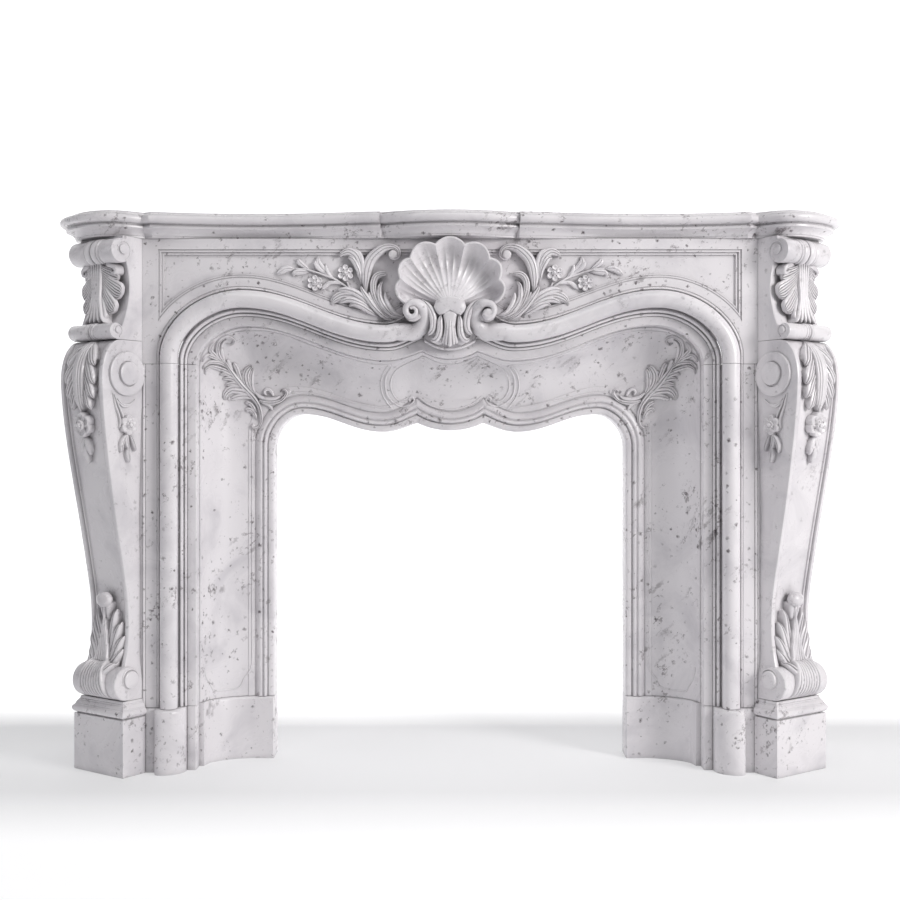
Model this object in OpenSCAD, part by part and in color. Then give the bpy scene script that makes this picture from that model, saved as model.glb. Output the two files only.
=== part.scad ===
// Marble chimneypiece in the Louis XV manner: serpentine shelf, carved arch, coved slips and canted consoles.
// Millimetres. +Z is up, the front looks along -Y, the wall is the plane at the back, and X = 0 is the middle.

/* [Opening] */
// Clear width of the hearth opening
opening_w = 732; // [600:5:900]
// Height of the opening at its shoulders
opening_h = 715; // [590:5:870]
// Width of each rounded shoulder of the opening
shoulder_w = 60; // [40:1:80]
// Height of each rounded shoulder of the opening
shoulder_h = 70; // [50:1:90]
// Drop from the shoulders to the low points of the opening's top edge
opening_dip = 37; // [25:1:50]

/* [Inner slips] */
// Width of the coved slip, seen from the front
cove_w = 142; // [115:1:175]
// Height of the coved lintel at its shoulders
lintel_h = 175; // [140:1:215]
// Depth from the front strip back to the slip's flat
cove_depth = 106; // [85:1:125]
// Thickness of the slip's edge at the opening
slip_edge_t = 48; // [35:1:60]
// Width of the raised frame moulding around the opening
slip_frame_w = 33; // [25:1:45]

/* [Arch front] */
// Width of each rounded shoulder of the arch
arch_shoulder_w = 98; // [80:1:120]
// Height of each rounded shoulder of the arch
arch_shoulder_h = 79; // [60:1:95]
// Drop from the arch's shoulders to its low points
arch_dip = 69; // [50:1:85]
// Width of the flat strip beside the cove
strip_w = 18; // [12:1:26]
// Width of the beads between the strip and the roll
bead_w = 14; // [10:1:20]
// Width of the roll moulding
roll_w = 36; // [28:1:44]
// How far the roll stands proud of the frieze face
roll_rise = 22; // [14:1:28]
// Width of the plain pilaster band beside the roll
pilaster_w = 36; // [28:1:50]
// Height of the frieze above the roll's shoulders
frieze_margin = 102; // [80:1:130]
// Thickness of the frieze and jamb slabs
slab_t = 48; // [38:1:60]
// Step back from the frieze face to the beads
bead_step = 12; // [8:1:16]
// Step back from the frieze face to the strip
strip_step = 18; // [14:1:24]
// Depth of the sunk panel in the frieze
panel_sink = 8; // [5:1:12]
// Band left between the roll and the sunk panel
panel_band = 24; // [18:1:32]

/* [Feet] */
// Height of the base blocks under the jambs and slips
foot_h = 128; // [100:1:160]
// How far the base blocks stand proud of what they carry
foot_proud = 8; // [4:1:12]

/* [Consoles] */
// Angle that each console turns away from the front
cant = 35; // [25:1:45]
// Width of the console plinth
plinth_w = 146; // [120:1:175]
// Depth of the console plinth
plinth_d = 57; // [48:1:68]
// Height of the plinth block under its moulding
plinth_h = 113; // [90:1:135]
// Height of the moulding on the plinth
plinth_cap_h = 34; // [28:1:42]
// Gap from each edge of the plinth to the console's cheeks
console_inset = 10; // [6:1:16]
// Width of the raised border on the console's front
border_w = 12; // [8:1:18]
// Radius of the console's lower scroll
low_scroll_r = 32; // [26:1:38]
// How far the console's upper volute leans out over the plinth's front
volute_reach = 42; // [34:1:52]
// Radius of the raised disc in the console's upper volute
volute_r = 42; // [35:1:50]
// Height of the rolled bracket above the console
cap_h = 204; // [170:1:245]
// Radius of the bracket's top roll
cap_roll_r = 24; // [20:1:28]
// Radius of the bracket's bottom roll
cap_foot_r = 16; // [13:1:19]

/* [Shelf and depth] */
// Whole depth from the foremost volute to the wall
mantel_d = 372; // [310:2:450]
// Thickness of the shelf
shelf_t = 50; // [42:1:60]
// How far the shelf's nose stands out from the frieze face
shelf_overhang = 68; // [56:1:82]
// How far the shelf's end stands out from the plinth
end_overhang = 32; // [24:1:40]
// How far the shelf's round nose stands out from its top fillet
nose = 22; // [16:1:28]
// Thickness of the side slabs that return to the wall
return_t = 30; // [24:1:40]

/* [Carving] */
// Half the width of the middle shell
shell_w = 108; // [90:1:130]
// Height of the middle shell above its hinge
shell_h = 126; // [105:1:135]
// Number of lobes of the shell
shell_lobes = 7; // [5:1:9]
// How far the shell's rim stands proud of the frieze face
shell_rise = 50; // [38:1:60]

/* [Hidden] */
$fn = 48;

marble = "#D3D2D6";
marble_shade = "#BDBCC2";

// Levels across the depth
wall_y = mantel_d / 2;
face_y = (plinth_d + volute_reach) * cos(cant) - mantel_d / 2;
bead_y = face_y + bead_step;
strip_y = face_y + strip_step;
slab_back = face_y + slab_t;
slip_y = strip_y + cove_depth;
sunk = 2; // how far a carving's flat back lies inside its slab

// Stations across the width
half_open = opening_w / 2;
half_arris = half_open + cove_w;
roll_in = strip_w + bead_w;
roll_out = roll_in + roll_w;
half_frieze = half_arris + roll_out + pilaster_w;
seat_x = half_frieze - (console_inset * cos(cant) - plinth_d * sin(cant));
seat_y = face_y - (console_inset * sin(cant) + plinth_d * cos(cant));
corner_x = seat_x + plinth_w * cos(cant);
corner_y = seat_y + plinth_w * sin(cant);
half_w = corner_x + end_overhang;
return_x = seat_x + (plinth_w - console_inset) * cos(cant) - plinth_d * sin(cant);
return_y = seat_y + (plinth_w - console_inset) * sin(cant) + plinth_d * cos(cant);

// Levels up the height
arris_h = opening_h + lintel_h;
joint_z = arris_h - arch_shoulder_h;
slip_joint_z = opening_h - shoulder_h - 15;
frieze_top = arris_h + roll_out + frieze_margin;
console_z = plinth_h + plinth_cap_h;
console_top = frieze_top - cap_h;
console_h = console_top - console_z;

// ---- curves ----
function bez(a, b, c, d, t) = pow(1 - t, 3) * a + 3 * t * pow(1 - t, 2) * b + 3 * t * t * (1 - t) * c + t * t * t * d;
function curve(a, b, c, d, n, first = 0) = [for (i = [first:n]) bez(a, b, c, d, i / n)];
function flip(pts) = [for (i = [len(pts) - 1:-1:0]) [-pts[i][0], pts[i][1]]];
function back(pts) = [for (i = [len(pts) - 1:-1:0]) pts[i]];
function mix(a, b, t) = a + (b - a) * t;

// An arch line is [half width, spring, shoulder x, shoulder z, dip x, dip z, cusp x, cusp z, apron z].
// Both lines fall to a low point on each side, rise to a cusp and sag again to the apron in the middle.
dip_x = 142;
cusp_x = 69;
cusp_rise = 19;
apron_rise = 3;
narrow = 14; // how much nearer the middle the upper line's low points and cusps lie
opening_key = [half_open, opening_h - shoulder_h, half_open - shoulder_w, opening_h,
    dip_x, opening_h - opening_dip, cusp_x, opening_h - opening_dip + cusp_rise, opening_h - opening_dip + apron_rise];
arris_key = [half_arris, joint_z, half_arris - arch_shoulder_w, arris_h,
    dip_x - narrow, arris_h - arch_dip, cusp_x - narrow, arris_h - arch_dip + cusp_rise, arris_h - arch_dip + apron_rise];
function grow(key, d) = key + d * [1, 0.22, 0.07, 1, 0, 1, 0, 1.3, 1];

// Half of an arch line, from its spring to the middle, with n steps round the shoulder
function arch_half(k, n) = concat(
    curve([k[0], k[1]], [k[0], mix(k[1], k[3], 0.52)], [mix(k[2], k[0], 0.52), k[3]], [k[2], k[3]], n),
    curve([k[2], k[3]], [mix(k[2], k[4], 0.38), k[3]], [mix(k[4], k[2], 0.38), k[5]], [k[4], k[5]], round(n * 1.5), 1),
    curve([k[4], k[5]], [mix(k[4], k[6], 0.4), k[5]], [mix(k[6], k[4], 0.3), mix(k[7], k[5], 0.35)], [k[6], k[7]], round(n / 2), 1),
    curve([k[6], k[7]], [k[6] * 0.75, mix(k[7], k[8], 0.6)], [k[6] * 0.35, k[8]], [0, k[8]], round(n / 2), 1));

// The slab outline that stays above an arch line, out to x on both sides and up to top
function above_arch(key, x, top, steps = 8) = concat(
    [[x, top], [-x, top], [-x, joint_z], [-key[0], joint_z]],
    flip(back(arch_half(key, steps))),
    back([for (i = [0:len(arch_half(key, steps)) - 2]) arch_half(key, steps)[i]]),
    [[key[0], joint_z], [x, joint_z]]);

// ---- helpers ----
module upright(y0, y1) translate([0, y1, 0]) rotate([90, 0, 0]) linear_extrude(y1 - y0) children();
module on_face(x, z, turn = 0) translate([x, face_y + panel_sink, z]) rotate([90, 0, 0]) rotate([0, 0, turn]) children();
module side(s) mirror([s < 0 ? 1 : 0, 0, 0]) children();
module at_console() translate([seat_x, seat_y, 0]) rotate([0, 0, cant]) children();
// A side profile, drawn as [depth, height], laid along the console's width from x0 to x1
module cheek(x0, x1, pts) translate([x0, 0, 0]) rotate([90, 0, 90]) linear_extrude(x1 - x0) polygon(pts);

// A closed mesh through rings of points of equal length, capped at both ends and turned to face outwards
function sum(v) = v * [for (x = v) 1];
module loft(rings) {
    m = len(rings[0]);
    n = len(rings);
    points = [for (r = rings) for (p = r) p];
    sides = [for (i = [0:n - 2]) for (j = [0:m - 1]) for (f = [
        [i * m + j, i * m + (j + 1) % m, (i + 1) * m + (j + 1) % m],
        [i * m + j, (i + 1) * m + (j + 1) % m, (i + 1) * m + j]]) f];
    ends = concat([for (j = [1:m - 2]) [0, j + 1, j]],
        [for (j = [1:m - 2]) [(n - 1) * m, (n - 1) * m + j, (n - 1) * m + j + 1]]);
    outwards = sum([for (f = concat(sides, ends)) points[f[0]] * cross(points[f[1]], points[f[2]])]) > 0;
    polyhedron(
        points = points,
        faces = [for (f = concat(sides, [[for (j = [m - 1:-1:0]) j]], [[for (j = [0:m - 1]) (n - 1) * m + j]]))
            outwards ? back(f) : f]);
}

// A carved leaf that lies along +X and stands up along +Z: a rib, a hollow blade and scalloped edges
module leaf(l, w, h, bend = 0, lobes = 4, dip = 5) {
    n = 2 * lobes + 2;
    m = 4;
    loft([for (i = [0:n])
        let (t = i / n,
            a = bend * t,
            x = bend == 0 ? l * t : l * sin(a) / (bend * PI / 180),
            y = bend == 0 ? 0 : l * (1 - cos(a)) / (bend * PI / 180),
            half = w / 2 * (0.12 + pow(sin(180 * pow(min(t + 0.02, 0.97), 0.75)), 0.8) * (0.84 + 0.16 * cos(180 * n * t))),
            rise = h * (0.55 + 0.45 * sin(160 * t)))
        concat(
            [for (j = [0:m]) let (v = 1 - 2 * j / m)
                [x - v * half * sin(a), y + v * half * cos(a), rise * (1 - 0.35 * v * v - 0.25 * abs(sin(180 * v)))]],
            [[x + half * sin(a), y - half * cos(a), -dip], [x - half * sin(a), y + half * cos(a), -dip]])]);
}

// A flower with six petals of radius r about a button
module flower(r, h) {
    translate([0, 0, -sunk]) linear_extrude(h + sunk)
        polygon([for (i = [0:35]) r * (0.76 + 0.24 * abs(cos(30 * i))) * [cos(10 * i), sin(10 * i)]]);
    translate([0, 0, -sunk]) cylinder(r = r * 0.36, h = h + sunk + 3, $fn = 12);
}

// ---- shelf ----
bow_x = shell_w + 26;
break_x = seat_x - 47;
horn_x = corner_x - plinth_w * cos(cant) + 32;
top_end = half_w - nose;
nose_y = face_y - shelf_overhang + nose;
// Half of the shelf's plan line, as [x, y, direction of the outward normal]
function shelf_half() = concat(
    [for (i = [0:7]) let (a = 26 * i / 7) [bow_x * sin(a) / sin(26), nose_y + bow_x * (1 - cos(a)) / sin(26), a * 0.6]],
    [for (p = curve([bow_x + 4, nose_y + 22], [bow_x + 55, nose_y + 22], [bow_x + 120, nose_y + 48],
        [mix(bow_x, break_x, 0.58), nose_y + 48], 6)) [p[0], p[1], 0]],
    [for (p = curve([mix(bow_x, break_x, 0.58), nose_y + 48], [mix(bow_x, break_x, 0.74), nose_y + 48],
        [mix(bow_x, break_x, 0.89), nose_y + 36], [break_x, nose_y + 26], 6, 1)) [p[0], p[1], 0]],
    [for (i = [0:4]) let (p = bez([break_x + 19, nose_y + 35], [mix(break_x, horn_x, 0.5), nose_y + 20],
        [horn_x - 24, nose_y + 8], [horn_x, nose_y + 8], i / 4)) [p[0], p[1], 0]],
    [for (i = [1:9]) let (p = bez([horn_x, nose_y + 8], [horn_x + 36, nose_y + 8], [top_end, corner_y - 26],
        [top_end, corner_y + 20], i / 9)) [p[0], p[1], 90 * pow(i / 9, 1.1)]],
    [for (i = [1:4]) let (p = bez([top_end, corner_y + 20], [top_end, corner_y + 56], [top_end - 14, corner_y + 66],
        [top_end - 14, corner_y + 106], i / 4)) [p[0], p[1], 90]],
    [[top_end - 14, wall_y, 90]]);
function shelf_line(d) = let (h = [for (p = shelf_half()) [p[0] + d * sin(p[2]), p[1] == wall_y ? wall_y : p[1] - d * cos(p[2])]])
    concat(h, [for (i = [len(h) - 1:-1:1]) [-h[i][0], h[i][1]]]);
// The shelf's mould from its soffit up, as [share of the thickness, share of the nose]
shelf_steps = [[0, -0.45], [0.06, -0.35], [0.16, -0.1], [0.27, 0.25], [0.36, 0.5], [0.46, 0.3], [0.52, 0.75],
    [0.59, 0.93], [0.67, 1], [0.76, 0.93], [0.83, 0.72], [0.88, 0], [1, 0]];

module shelf() {
    color(marble)
        for (i = [0:len(shelf_steps) - 2])
            translate([0, 0, frieze_top + shelf_steps[i][0] * shelf_t])
                linear_extrude((shelf_steps[i + 1][0] - shelf_steps[i][0]) * shelf_t)
                    polygon(shelf_line(shelf_steps[i][1] * nose));
}

// ---- frieze ----
// Half of the roll moulding, from the joint to its volute beside the shell
roll_steps = 9;
function roll_ring(p, q) = concat(
    [for (j = [0:5]) let (u = j / 5) [mix(p[0], q[0], u), face_y + 4 - (roll_rise + 4) * sin(180 * u), mix(p[1], q[1], u)]],
    [[q[0], face_y + bead_step + sunk, q[1]], [p[0], face_y + bead_step + sunk, p[1]]]);
module arch_roll() {
    inner = concat([[half_arris + roll_in, joint_z]], arch_half(grow(arris_key, roll_in), roll_steps));
    outer = concat([[half_arris + roll_out, joint_z]], arch_half(grow(arris_key, roll_out), roll_steps));
    last = len(inner) - 7;
    loft([for (i = [0:last]) roll_ring(inner[i], outer[i])]);
}
module arch_volute() {
    on_face(82, arris_h + 21) {
        translate([0, 0, -sunk]) cylinder(r = 33, h = panel_sink + roll_rise + 4);
        cylinder(r = 14, h = panel_sink + roll_rise + 12);
    }
}

// The shell: a hollow fan of fluted lobes with a rolled and scalloped rim
module shell() {
    per = 4;
    n = shell_lobes * per;
    rise = shell_rise + panel_sink;
    function ray(i) = mix(-8, 188, i / n);
    function scallop(i) = 0.9 + 0.1 * abs(sin(180 * i / per));
    function reach(i) = let (a = ray(i)) scallop(i) / sqrt(pow(cos(a) / shell_w, 2) + pow(sin(a) / shell_h, 2));
    function hollow(f) = f < 0.9 ? mix(0.62, 1, pow(f, 1.6)) : mix(0.97, 0.7, (f - 0.9) / 0.1);
    steps = [0.16, 0.45, 0.75, 0.92, 1];
    loft([for (i = [0:n]) concat(
        [for (f = steps) [reach(i) * f * cos(ray(i)), reach(i) * f * sin(ray(i)),
            rise * hollow(f) - 7 * f * (1 - abs(sin(180 * i / per)))]],
        [[reach(i) * cos(ray(i)), reach(i) * sin(ray(i)), -sunk],
            [reach(i) * steps[0] * cos(ray(i)), reach(i) * steps[0] * sin(ray(i)), -sunk]])]);
}

module frieze() {
    color(marble) {
        difference() {
            union() {
                upright(face_y, slab_back) polygon(above_arch(grow(arris_key, roll_in), half_frieze, frieze_top));
                upright(bead_y, slab_back) polygon(above_arch(grow(arris_key, strip_w), half_frieze, frieze_top));
                upright(strip_y, slab_back) polygon(above_arch(arris_key, half_frieze, frieze_top));
            }
            for (i = [0:2])
                upright(face_y - 1, face_y + panel_sink * (i + 1) / 3)
                    intersection() {
                        polygon(above_arch(grow(arris_key, roll_out + panel_band + i * 5),
                            half_frieze + 60, frieze_top - 21 - i * 6));
                        translate([-half_frieze + 32 + i * 6, 0])
                            square([2 * (half_frieze - 32 - i * 6), frieze_top]);
                    }
        }
        for (s = [-1, 1])
            side(s) {
                arch_roll();
                arch_volute();
                // the tall acanthus beside the shell, the sprig to the side and its flowers
                on_face(112, arris_h + 34, 100) leaf(112, 58, 30, 25, 4);
                on_face(131, arris_h + 43, 38) leaf(118, 52, 25, -20, 4);
                on_face(180, arris_h + 52, 8) leaf(76, 46, 20, 0, 4);
                on_face(200, arris_h + 96, 20) leaf(100, 34, 14, -24, 4);
                on_face(250, arris_h + 88, -6) leaf(98, 28, 12, 16, 4);
                on_face(206, arris_h + 100) flower(16, 17);
                on_face(265, arris_h + 80) flower(16, 15);
            }
        on_face(0, arris_h + 38) {
            shell();
            cylinder(r = 30, h = shell_rise);
        }
        // fronds that hang from the shell's hinge over the arch's apron
        for (a = [-30, 0, 30])
            on_face(0, arris_h + 38, a - 90) leaf(74, 34, shell_rise - 12, 0, 3);
    }
}

// ---- jambs ----
// The plan of a jamb's front: strip, beads, roll and pilaster band, each grown forward by d
function jamb_plan(d = 0, edge = 0) = concat(
    [[half_arris, slab_back], [half_arris, strip_y - d], [half_arris + strip_w, strip_y - d],
        [half_arris + strip_w, bead_y - d], [half_arris + roll_in, bead_y - d]],
    [for (i = [0:12]) [half_arris + roll_in + roll_w * (1 - cos(15 * i)) / 2,
        face_y + 4 - d - (roll_rise + 4) * sin(15 * i)]],
    [[half_arris + roll_out, face_y - d], [half_frieze - edge, face_y - d], [half_frieze - edge, slab_back]]);

module jamb() {
    color(marble)
        translate([0, 0, foot_h]) linear_extrude(joint_z - foot_h) polygon(jamb_plan());
}

// A jamb's foot: the same plan in plain swelling blocks, with a chamfer at the top
module jamb_foot() {
    edge = 7;
    color(marble_shade) {
        linear_extrude(foot_h - foot_proud) polygon(jamb_plan(foot_proud / 2, edge));
        translate([0, 0, foot_h - foot_proud]) linear_extrude(foot_proud) polygon(jamb_plan(foot_proud / 4, edge));
    }
}

// ---- coved slips ----
// Depth of the slip's face at share s of the way from the opening to the arris
cove_power = 2.45;
cove_open = 0.985;
function cove_y(s) = slip_y - cove_depth * (1 - pow(1 - pow(s, cove_power), 1 / cove_power));
frame_s = slip_frame_w / cove_w;
// The frame moulding, as [share of its width, how far it stands proud]
slip_beads = [[0, 3], [0.16, 9], [0.5, 9], [0.6, 5], [0.82, 6], [1, 0]];
// The slip's section, as [share of the cove's width, y]
function slip_section(d = 0) = concat(
    [[0, slip_y + slip_edge_t]],
    [for (b = slip_beads) [b[0] * frame_s, slip_y - b[1] - d]],
    [for (s = [0.42, 0.58, 0.72, 0.83, 0.91, 0.96]) [s, cove_y(s) - d]],
    [[cove_open, slab_back], [1.23, slab_back], [1.23, slab_back + 54], [0.6, slip_y + slip_edge_t]]);

module inner_panel() {
    color(marble)
        translate([0, 0, foot_h]) linear_extrude(slip_joint_z - foot_h)
            polygon([for (p = slip_section()) [half_open + p[0] * cove_w, p[1]]]);
}

// A slip's foot: the cove in block form, proud of the panel above
module inner_foot() {
    color(marble_shade)
        linear_extrude(foot_h)
            polygon(concat(
                [[half_open, slip_y + slip_edge_t], [half_open, slip_y - foot_proud - 4]],
                [for (s = [0.3, 0.58, 0.76, 0.88]) [half_open + s * cove_w, cove_y(s) - foot_proud]],
                [[half_open + 0.93 * cove_w, slab_back], [half_open + 1.23 * cove_w, slab_back],
                    [half_open + 1.23 * cove_w, slab_back + 54], [half_open + 0.6 * cove_w, slip_y + slip_edge_t]]));
}

module inner_lintel() {
    steps = 6;
    inner = concat([[half_open, slip_joint_z]], arch_half(opening_key, steps));
    outer = concat([[half_arris, slip_joint_z]], arch_half(arris_key, steps));
    half = [for (i = [0:len(inner) - 1])
        [for (p = slip_section()) let (q = mix(inner[i], outer[i], p[0])) [q[0], p[1], q[1]]]];
    mirrored = [for (i = [len(half) - 2:-1:0]) [for (p = half[i]) [-p[0], p[1], p[2]]]];
    color(marble) loft(concat(half, mirrored));
}

// ---- consoles ----
cheek_x0 = console_inset;
cheek_x1 = plinth_w - console_inset;
mid_x = plinth_w / 2;

module console_plinth() {
    // the moulding, as [height share, how far it stands proud of the block]
    steps = [[0, -5], [0.12, 2], [0.36, 4], [0.5, 0], [0.72, -4], [1, -8]];
    color(marble_shade) at_console() {
        cube([plinth_w, plinth_d, plinth_h]);
        for (i = [0:len(steps) - 2]) {
            p = steps[i][1];
            translate([-p, -p, plinth_h + steps[i][0] * plinth_cap_h])
                cube([plinth_w + 2 * p, plinth_d + p, (steps[i + 1][0] - steps[i][0]) * plinth_cap_h]);
        }
    }
}

// Side profile of the console, its front face set back by d
function console_side(d = 0) = let (h = console_h) concat(
    [[plinth_d, console_z], [plinth_d, console_top], [14 + d, console_top]],
    curve([14 + d, console_top], [-14 + d, console_top], [d - volute_reach, console_top - 0.04 * h],
        [d - volute_reach, console_top - 0.11 * h], 5, 1),
    curve([d - volute_reach, console_top - 0.11 * h], [d - volute_reach + 2, console_top - 0.26 * h],
        [d, console_top - 0.5 * h], [24 + d, console_top - 0.7 * h], 8, 1),
    curve([24 + d, console_top - 0.7 * h], [32 + d, console_top - 0.79 * h], [12 + d, console_top - 0.88 * h],
        [2 + d, console_z + low_scroll_r * 1.3], 6, 1),
    [[20, console_z]]);

module console() {
    field_sink = 4;
    low_y = low_scroll_r - 12;
    disc_z = console_top - 0.095 * console_h;
    color(marble) at_console() {
        cheek(cheek_x0, cheek_x0 + border_w, console_side());
        cheek(cheek_x0 + border_w, cheek_x1 - border_w, console_side(field_sink));
        cheek(cheek_x1 - border_w, cheek_x1, console_side());
        // the lower scroll and its eye
        translate([cheek_x0 - 1, low_y, console_z + low_scroll_r]) rotate([0, 90, 0])
            cylinder(r = low_scroll_r, h = cheek_x1 - cheek_x0 + 2);
        translate([cheek_x0 - 5, low_y, console_z + low_scroll_r]) rotate([0, 90, 0])
            cylinder(r = low_scroll_r * 0.4, h = cheek_x1 - cheek_x0 + 10);
        // the upper volute's discs on both cheeks
        translate([cheek_x0 - 4, 14, disc_z]) rotate([0, 90, 0])
            cylinder(r = volute_r, h = cheek_x1 - cheek_x0 + 8);
        translate([cheek_x0 - 8, 14, disc_z]) rotate([0, 90, 0])
            cylinder(r = volute_r * 0.5, h = cheek_x1 - cheek_x0 + 16);
        // the leaf that hangs from the top, its rosette, and the leaf that climbs from the lower scroll
        translate([mid_x, 8 - volute_reach, console_top - 8]) rotate([96, 0, 0]) rotate([0, 0, -90]) leaf(185, 62, 14, 0, 4, 8);
        translate([mid_x, 18 - volute_reach, console_top - 0.29 * console_h]) rotate([96, 0, 0]) flower(17, 8);
        translate([mid_x, 4, console_z + 30]) rotate([86, 0, 0]) rotate([0, 0, 90]) leaf(205, 84, 22, 0, 5, 20);
    }
}

module console_cap() {
    top_z = frieze_top - 6 - cap_roll_r;
    foot_z = console_top + cap_foot_r;
    color(marble) at_console() {
        cheek(cheek_x0, cheek_x1, concat(
            [[plinth_d, console_top], [plinth_d, frieze_top], [-14, frieze_top], [-14, frieze_top - 8]],
            curve([14, top_z - 12], [34, top_z - 60], [26, foot_z + 50], [4, foot_z + 4], 8),
            [[-8, console_top]]));
        translate([cheek_x0 - 2, 3, top_z]) rotate([0, 90, 0]) cylinder(r = cap_roll_r, h = cheek_x1 - cheek_x0 + 4);
        translate([cheek_x0 - 5, 3, top_z]) rotate([0, 90, 0])
            cylinder(r = cap_roll_r * 0.4, h = cheek_x1 - cheek_x0 + 10);
        translate([cheek_x0 - 1, -8, foot_z]) rotate([0, 90, 0]) cylinder(r = cap_foot_r, h = cheek_x1 - cheek_x0 + 2);
        // the fluted fan in the hollow between the rolls
        for (a = [-28, 0, 28])
            translate([mid_x, 10, foot_z + 8]) rotate([88, 0, 0]) rotate([0, 0, 90 - a]) leaf(108, 46, 16, 0, 3, 14);
    }
}

// ---- returns ----
module return_slab() {
    inner_x = return_x - return_t;
    proud = console_inset * cos(cant);
    canted = [[half_frieze, face_y], [return_x, return_y]];
    hollow = [[inner_x, wall_y], [inner_x, return_y + 0.8 * return_t], [half_frieze, slab_back]];
    color(marble_shade) {
        translate([0, 0, console_z]) linear_extrude(frieze_top - console_z)
            polygon(concat(canted, [[return_x, wall_y]], hollow));
        linear_extrude(console_z)
            polygon(concat(canted, [[return_x + proud, return_y + console_inset * sin(cant)],
                [return_x + proud, wall_y]], hollow));
    }
}

shelf();
frieze();
side(-1) jamb();  // left_jamb
jamb();  // right_jamb
side(-1) jamb_foot();  // left_jamb_foot
jamb_foot();  // right_jamb_foot
inner_lintel();
side(-1) inner_panel();  // left_inner_panel
inner_panel();  // right_inner_panel
side(-1) inner_foot();  // left_inner_foot
inner_foot();  // right_inner_foot
side(-1) console();  // left_console
console();  // right_console
side(-1) console_cap();  // left_console_cap
console_cap();  // right_console_cap
side(-1) console_plinth();  // left_console_plinth
console_plinth();  // right_console_plinth
side(-1) return_slab();  // left_return
return_slab();  // right_return
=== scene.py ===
import math

import bmesh
import bpy
import numpy as np
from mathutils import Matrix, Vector
from mathutils.bvhtree import BVHTree
from mathutils.geometry import tessellate_polygon


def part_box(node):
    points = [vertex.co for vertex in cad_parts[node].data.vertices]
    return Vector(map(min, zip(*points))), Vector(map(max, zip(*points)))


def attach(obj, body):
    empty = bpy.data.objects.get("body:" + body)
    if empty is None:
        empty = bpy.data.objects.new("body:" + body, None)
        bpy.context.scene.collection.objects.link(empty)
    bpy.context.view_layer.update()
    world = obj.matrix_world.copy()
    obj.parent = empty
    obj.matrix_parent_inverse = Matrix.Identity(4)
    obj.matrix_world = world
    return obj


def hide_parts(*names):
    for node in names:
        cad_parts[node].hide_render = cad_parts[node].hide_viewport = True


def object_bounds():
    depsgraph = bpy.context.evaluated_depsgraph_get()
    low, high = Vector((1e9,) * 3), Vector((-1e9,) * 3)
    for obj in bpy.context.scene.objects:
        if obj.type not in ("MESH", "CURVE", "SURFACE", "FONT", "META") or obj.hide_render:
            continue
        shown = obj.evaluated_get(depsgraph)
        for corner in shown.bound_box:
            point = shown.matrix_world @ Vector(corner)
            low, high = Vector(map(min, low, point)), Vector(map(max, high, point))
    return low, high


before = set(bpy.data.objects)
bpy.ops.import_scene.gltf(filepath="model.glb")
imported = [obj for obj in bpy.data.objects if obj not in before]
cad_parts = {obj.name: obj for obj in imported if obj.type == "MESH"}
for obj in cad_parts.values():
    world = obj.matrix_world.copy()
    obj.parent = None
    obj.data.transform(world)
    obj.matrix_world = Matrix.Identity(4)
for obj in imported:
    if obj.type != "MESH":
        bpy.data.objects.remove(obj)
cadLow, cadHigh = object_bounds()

mm = 0.001


def boxOf(node):
    # a CAD node's lowest and highest corner, in millimetres
    low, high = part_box(node)
    return np.array(low) / mm, np.array(high) / mm


# the stations of the work, in millimetres and read from the frame
slipLow = boxOf("right_inner_panel")[0]
jambLow, jambHigh = boxOf("right_jamb")
lintelLow, lintelHigh = boxOf("inner_lintel")
friezeLow, friezeHigh = boxOf("frieze")
shelfHigh = boxOf("shelf")[1]
consoleLow, consoleHigh = boxOf("right_console")

opening = {
    "springUp": 15, "shoulderW": 60, "shoulderH": 70, "dip": 37, "dipX": 142, "cuspX": 69, "cuspDrop": 18,
    "apronDrop": 34, "edgeDepth": 48,
}
arch = {
    "stripW": 18, "beadW": 14, "rollW": 36, "rollRise": 22, "beadStep": 12, "stripStep": 18,
    "shoulderW": 98, "shoulderH": 79, "dip": 69, "dipX": 128, "cuspX": 55, "cuspRise": 19, "apronRise": 3,
    "bandW": 24, "panelSink": 8, "joint": 0.4,
}
halfOpen = slipLow[0]
halfArris = jambLow[0]
halfFrieze = jambHigh[0]
coveW = halfArris - halfOpen
footH = jambLow[2]
jointZ = friezeLow[2]
friezeTop = friezeHigh[2]
slipJointZ = lintelLow[2]
openingSpring = slipJointZ + opening["springUp"]
openingH = openingSpring + opening["shoulderH"]
arrisH = jointZ + arch["shoulderH"]
wallY = cadHigh[1] / mm
faceY = jambLow[1] + arch["rollRise"]
beadY = faceY + arch["beadStep"]
stripY = faceY + arch["stripStep"]
slabBack = jambHigh[1]
slipBack = lintelHigh[1]
slipY = slipBack - opening["edgeDepth"]
rollIn = arch["stripW"] + arch["beadW"]
rollOut = rollIn + arch["rollW"]
rollMid = (rollIn + rollOut) / 2

# the consoles stand on canted plinths, whose front inner corner is the seat
plinth = {"cant": 35, "w": 146, "d": 57, "inset": 10, "blockH": 113}
cant = math.radians(plinth["cant"])
seatX = halfFrieze - (plinth["inset"] * math.cos(cant) - plinth["d"] * math.sin(cant))
seatY = faceY - (plinth["inset"] * math.sin(cant) + plinth["d"] * math.cos(cant))
cornerY = seatY + plinth["w"] * math.sin(cant)


def bezier(a, b, c, d, n, first=0):
    # a cubic curve as n + 1 points, or fewer from the point numbered first
    t = np.linspace(0, 1, n + 1)[first:, None]
    a, b, c, d = (np.array(p, float) for p in (a, b, c, d))
    return (1 - t) ** 3 * a + 3 * t * (1 - t) ** 2 * b + 3 * t * t * (1 - t) * c + t ** 3 * d


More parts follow.
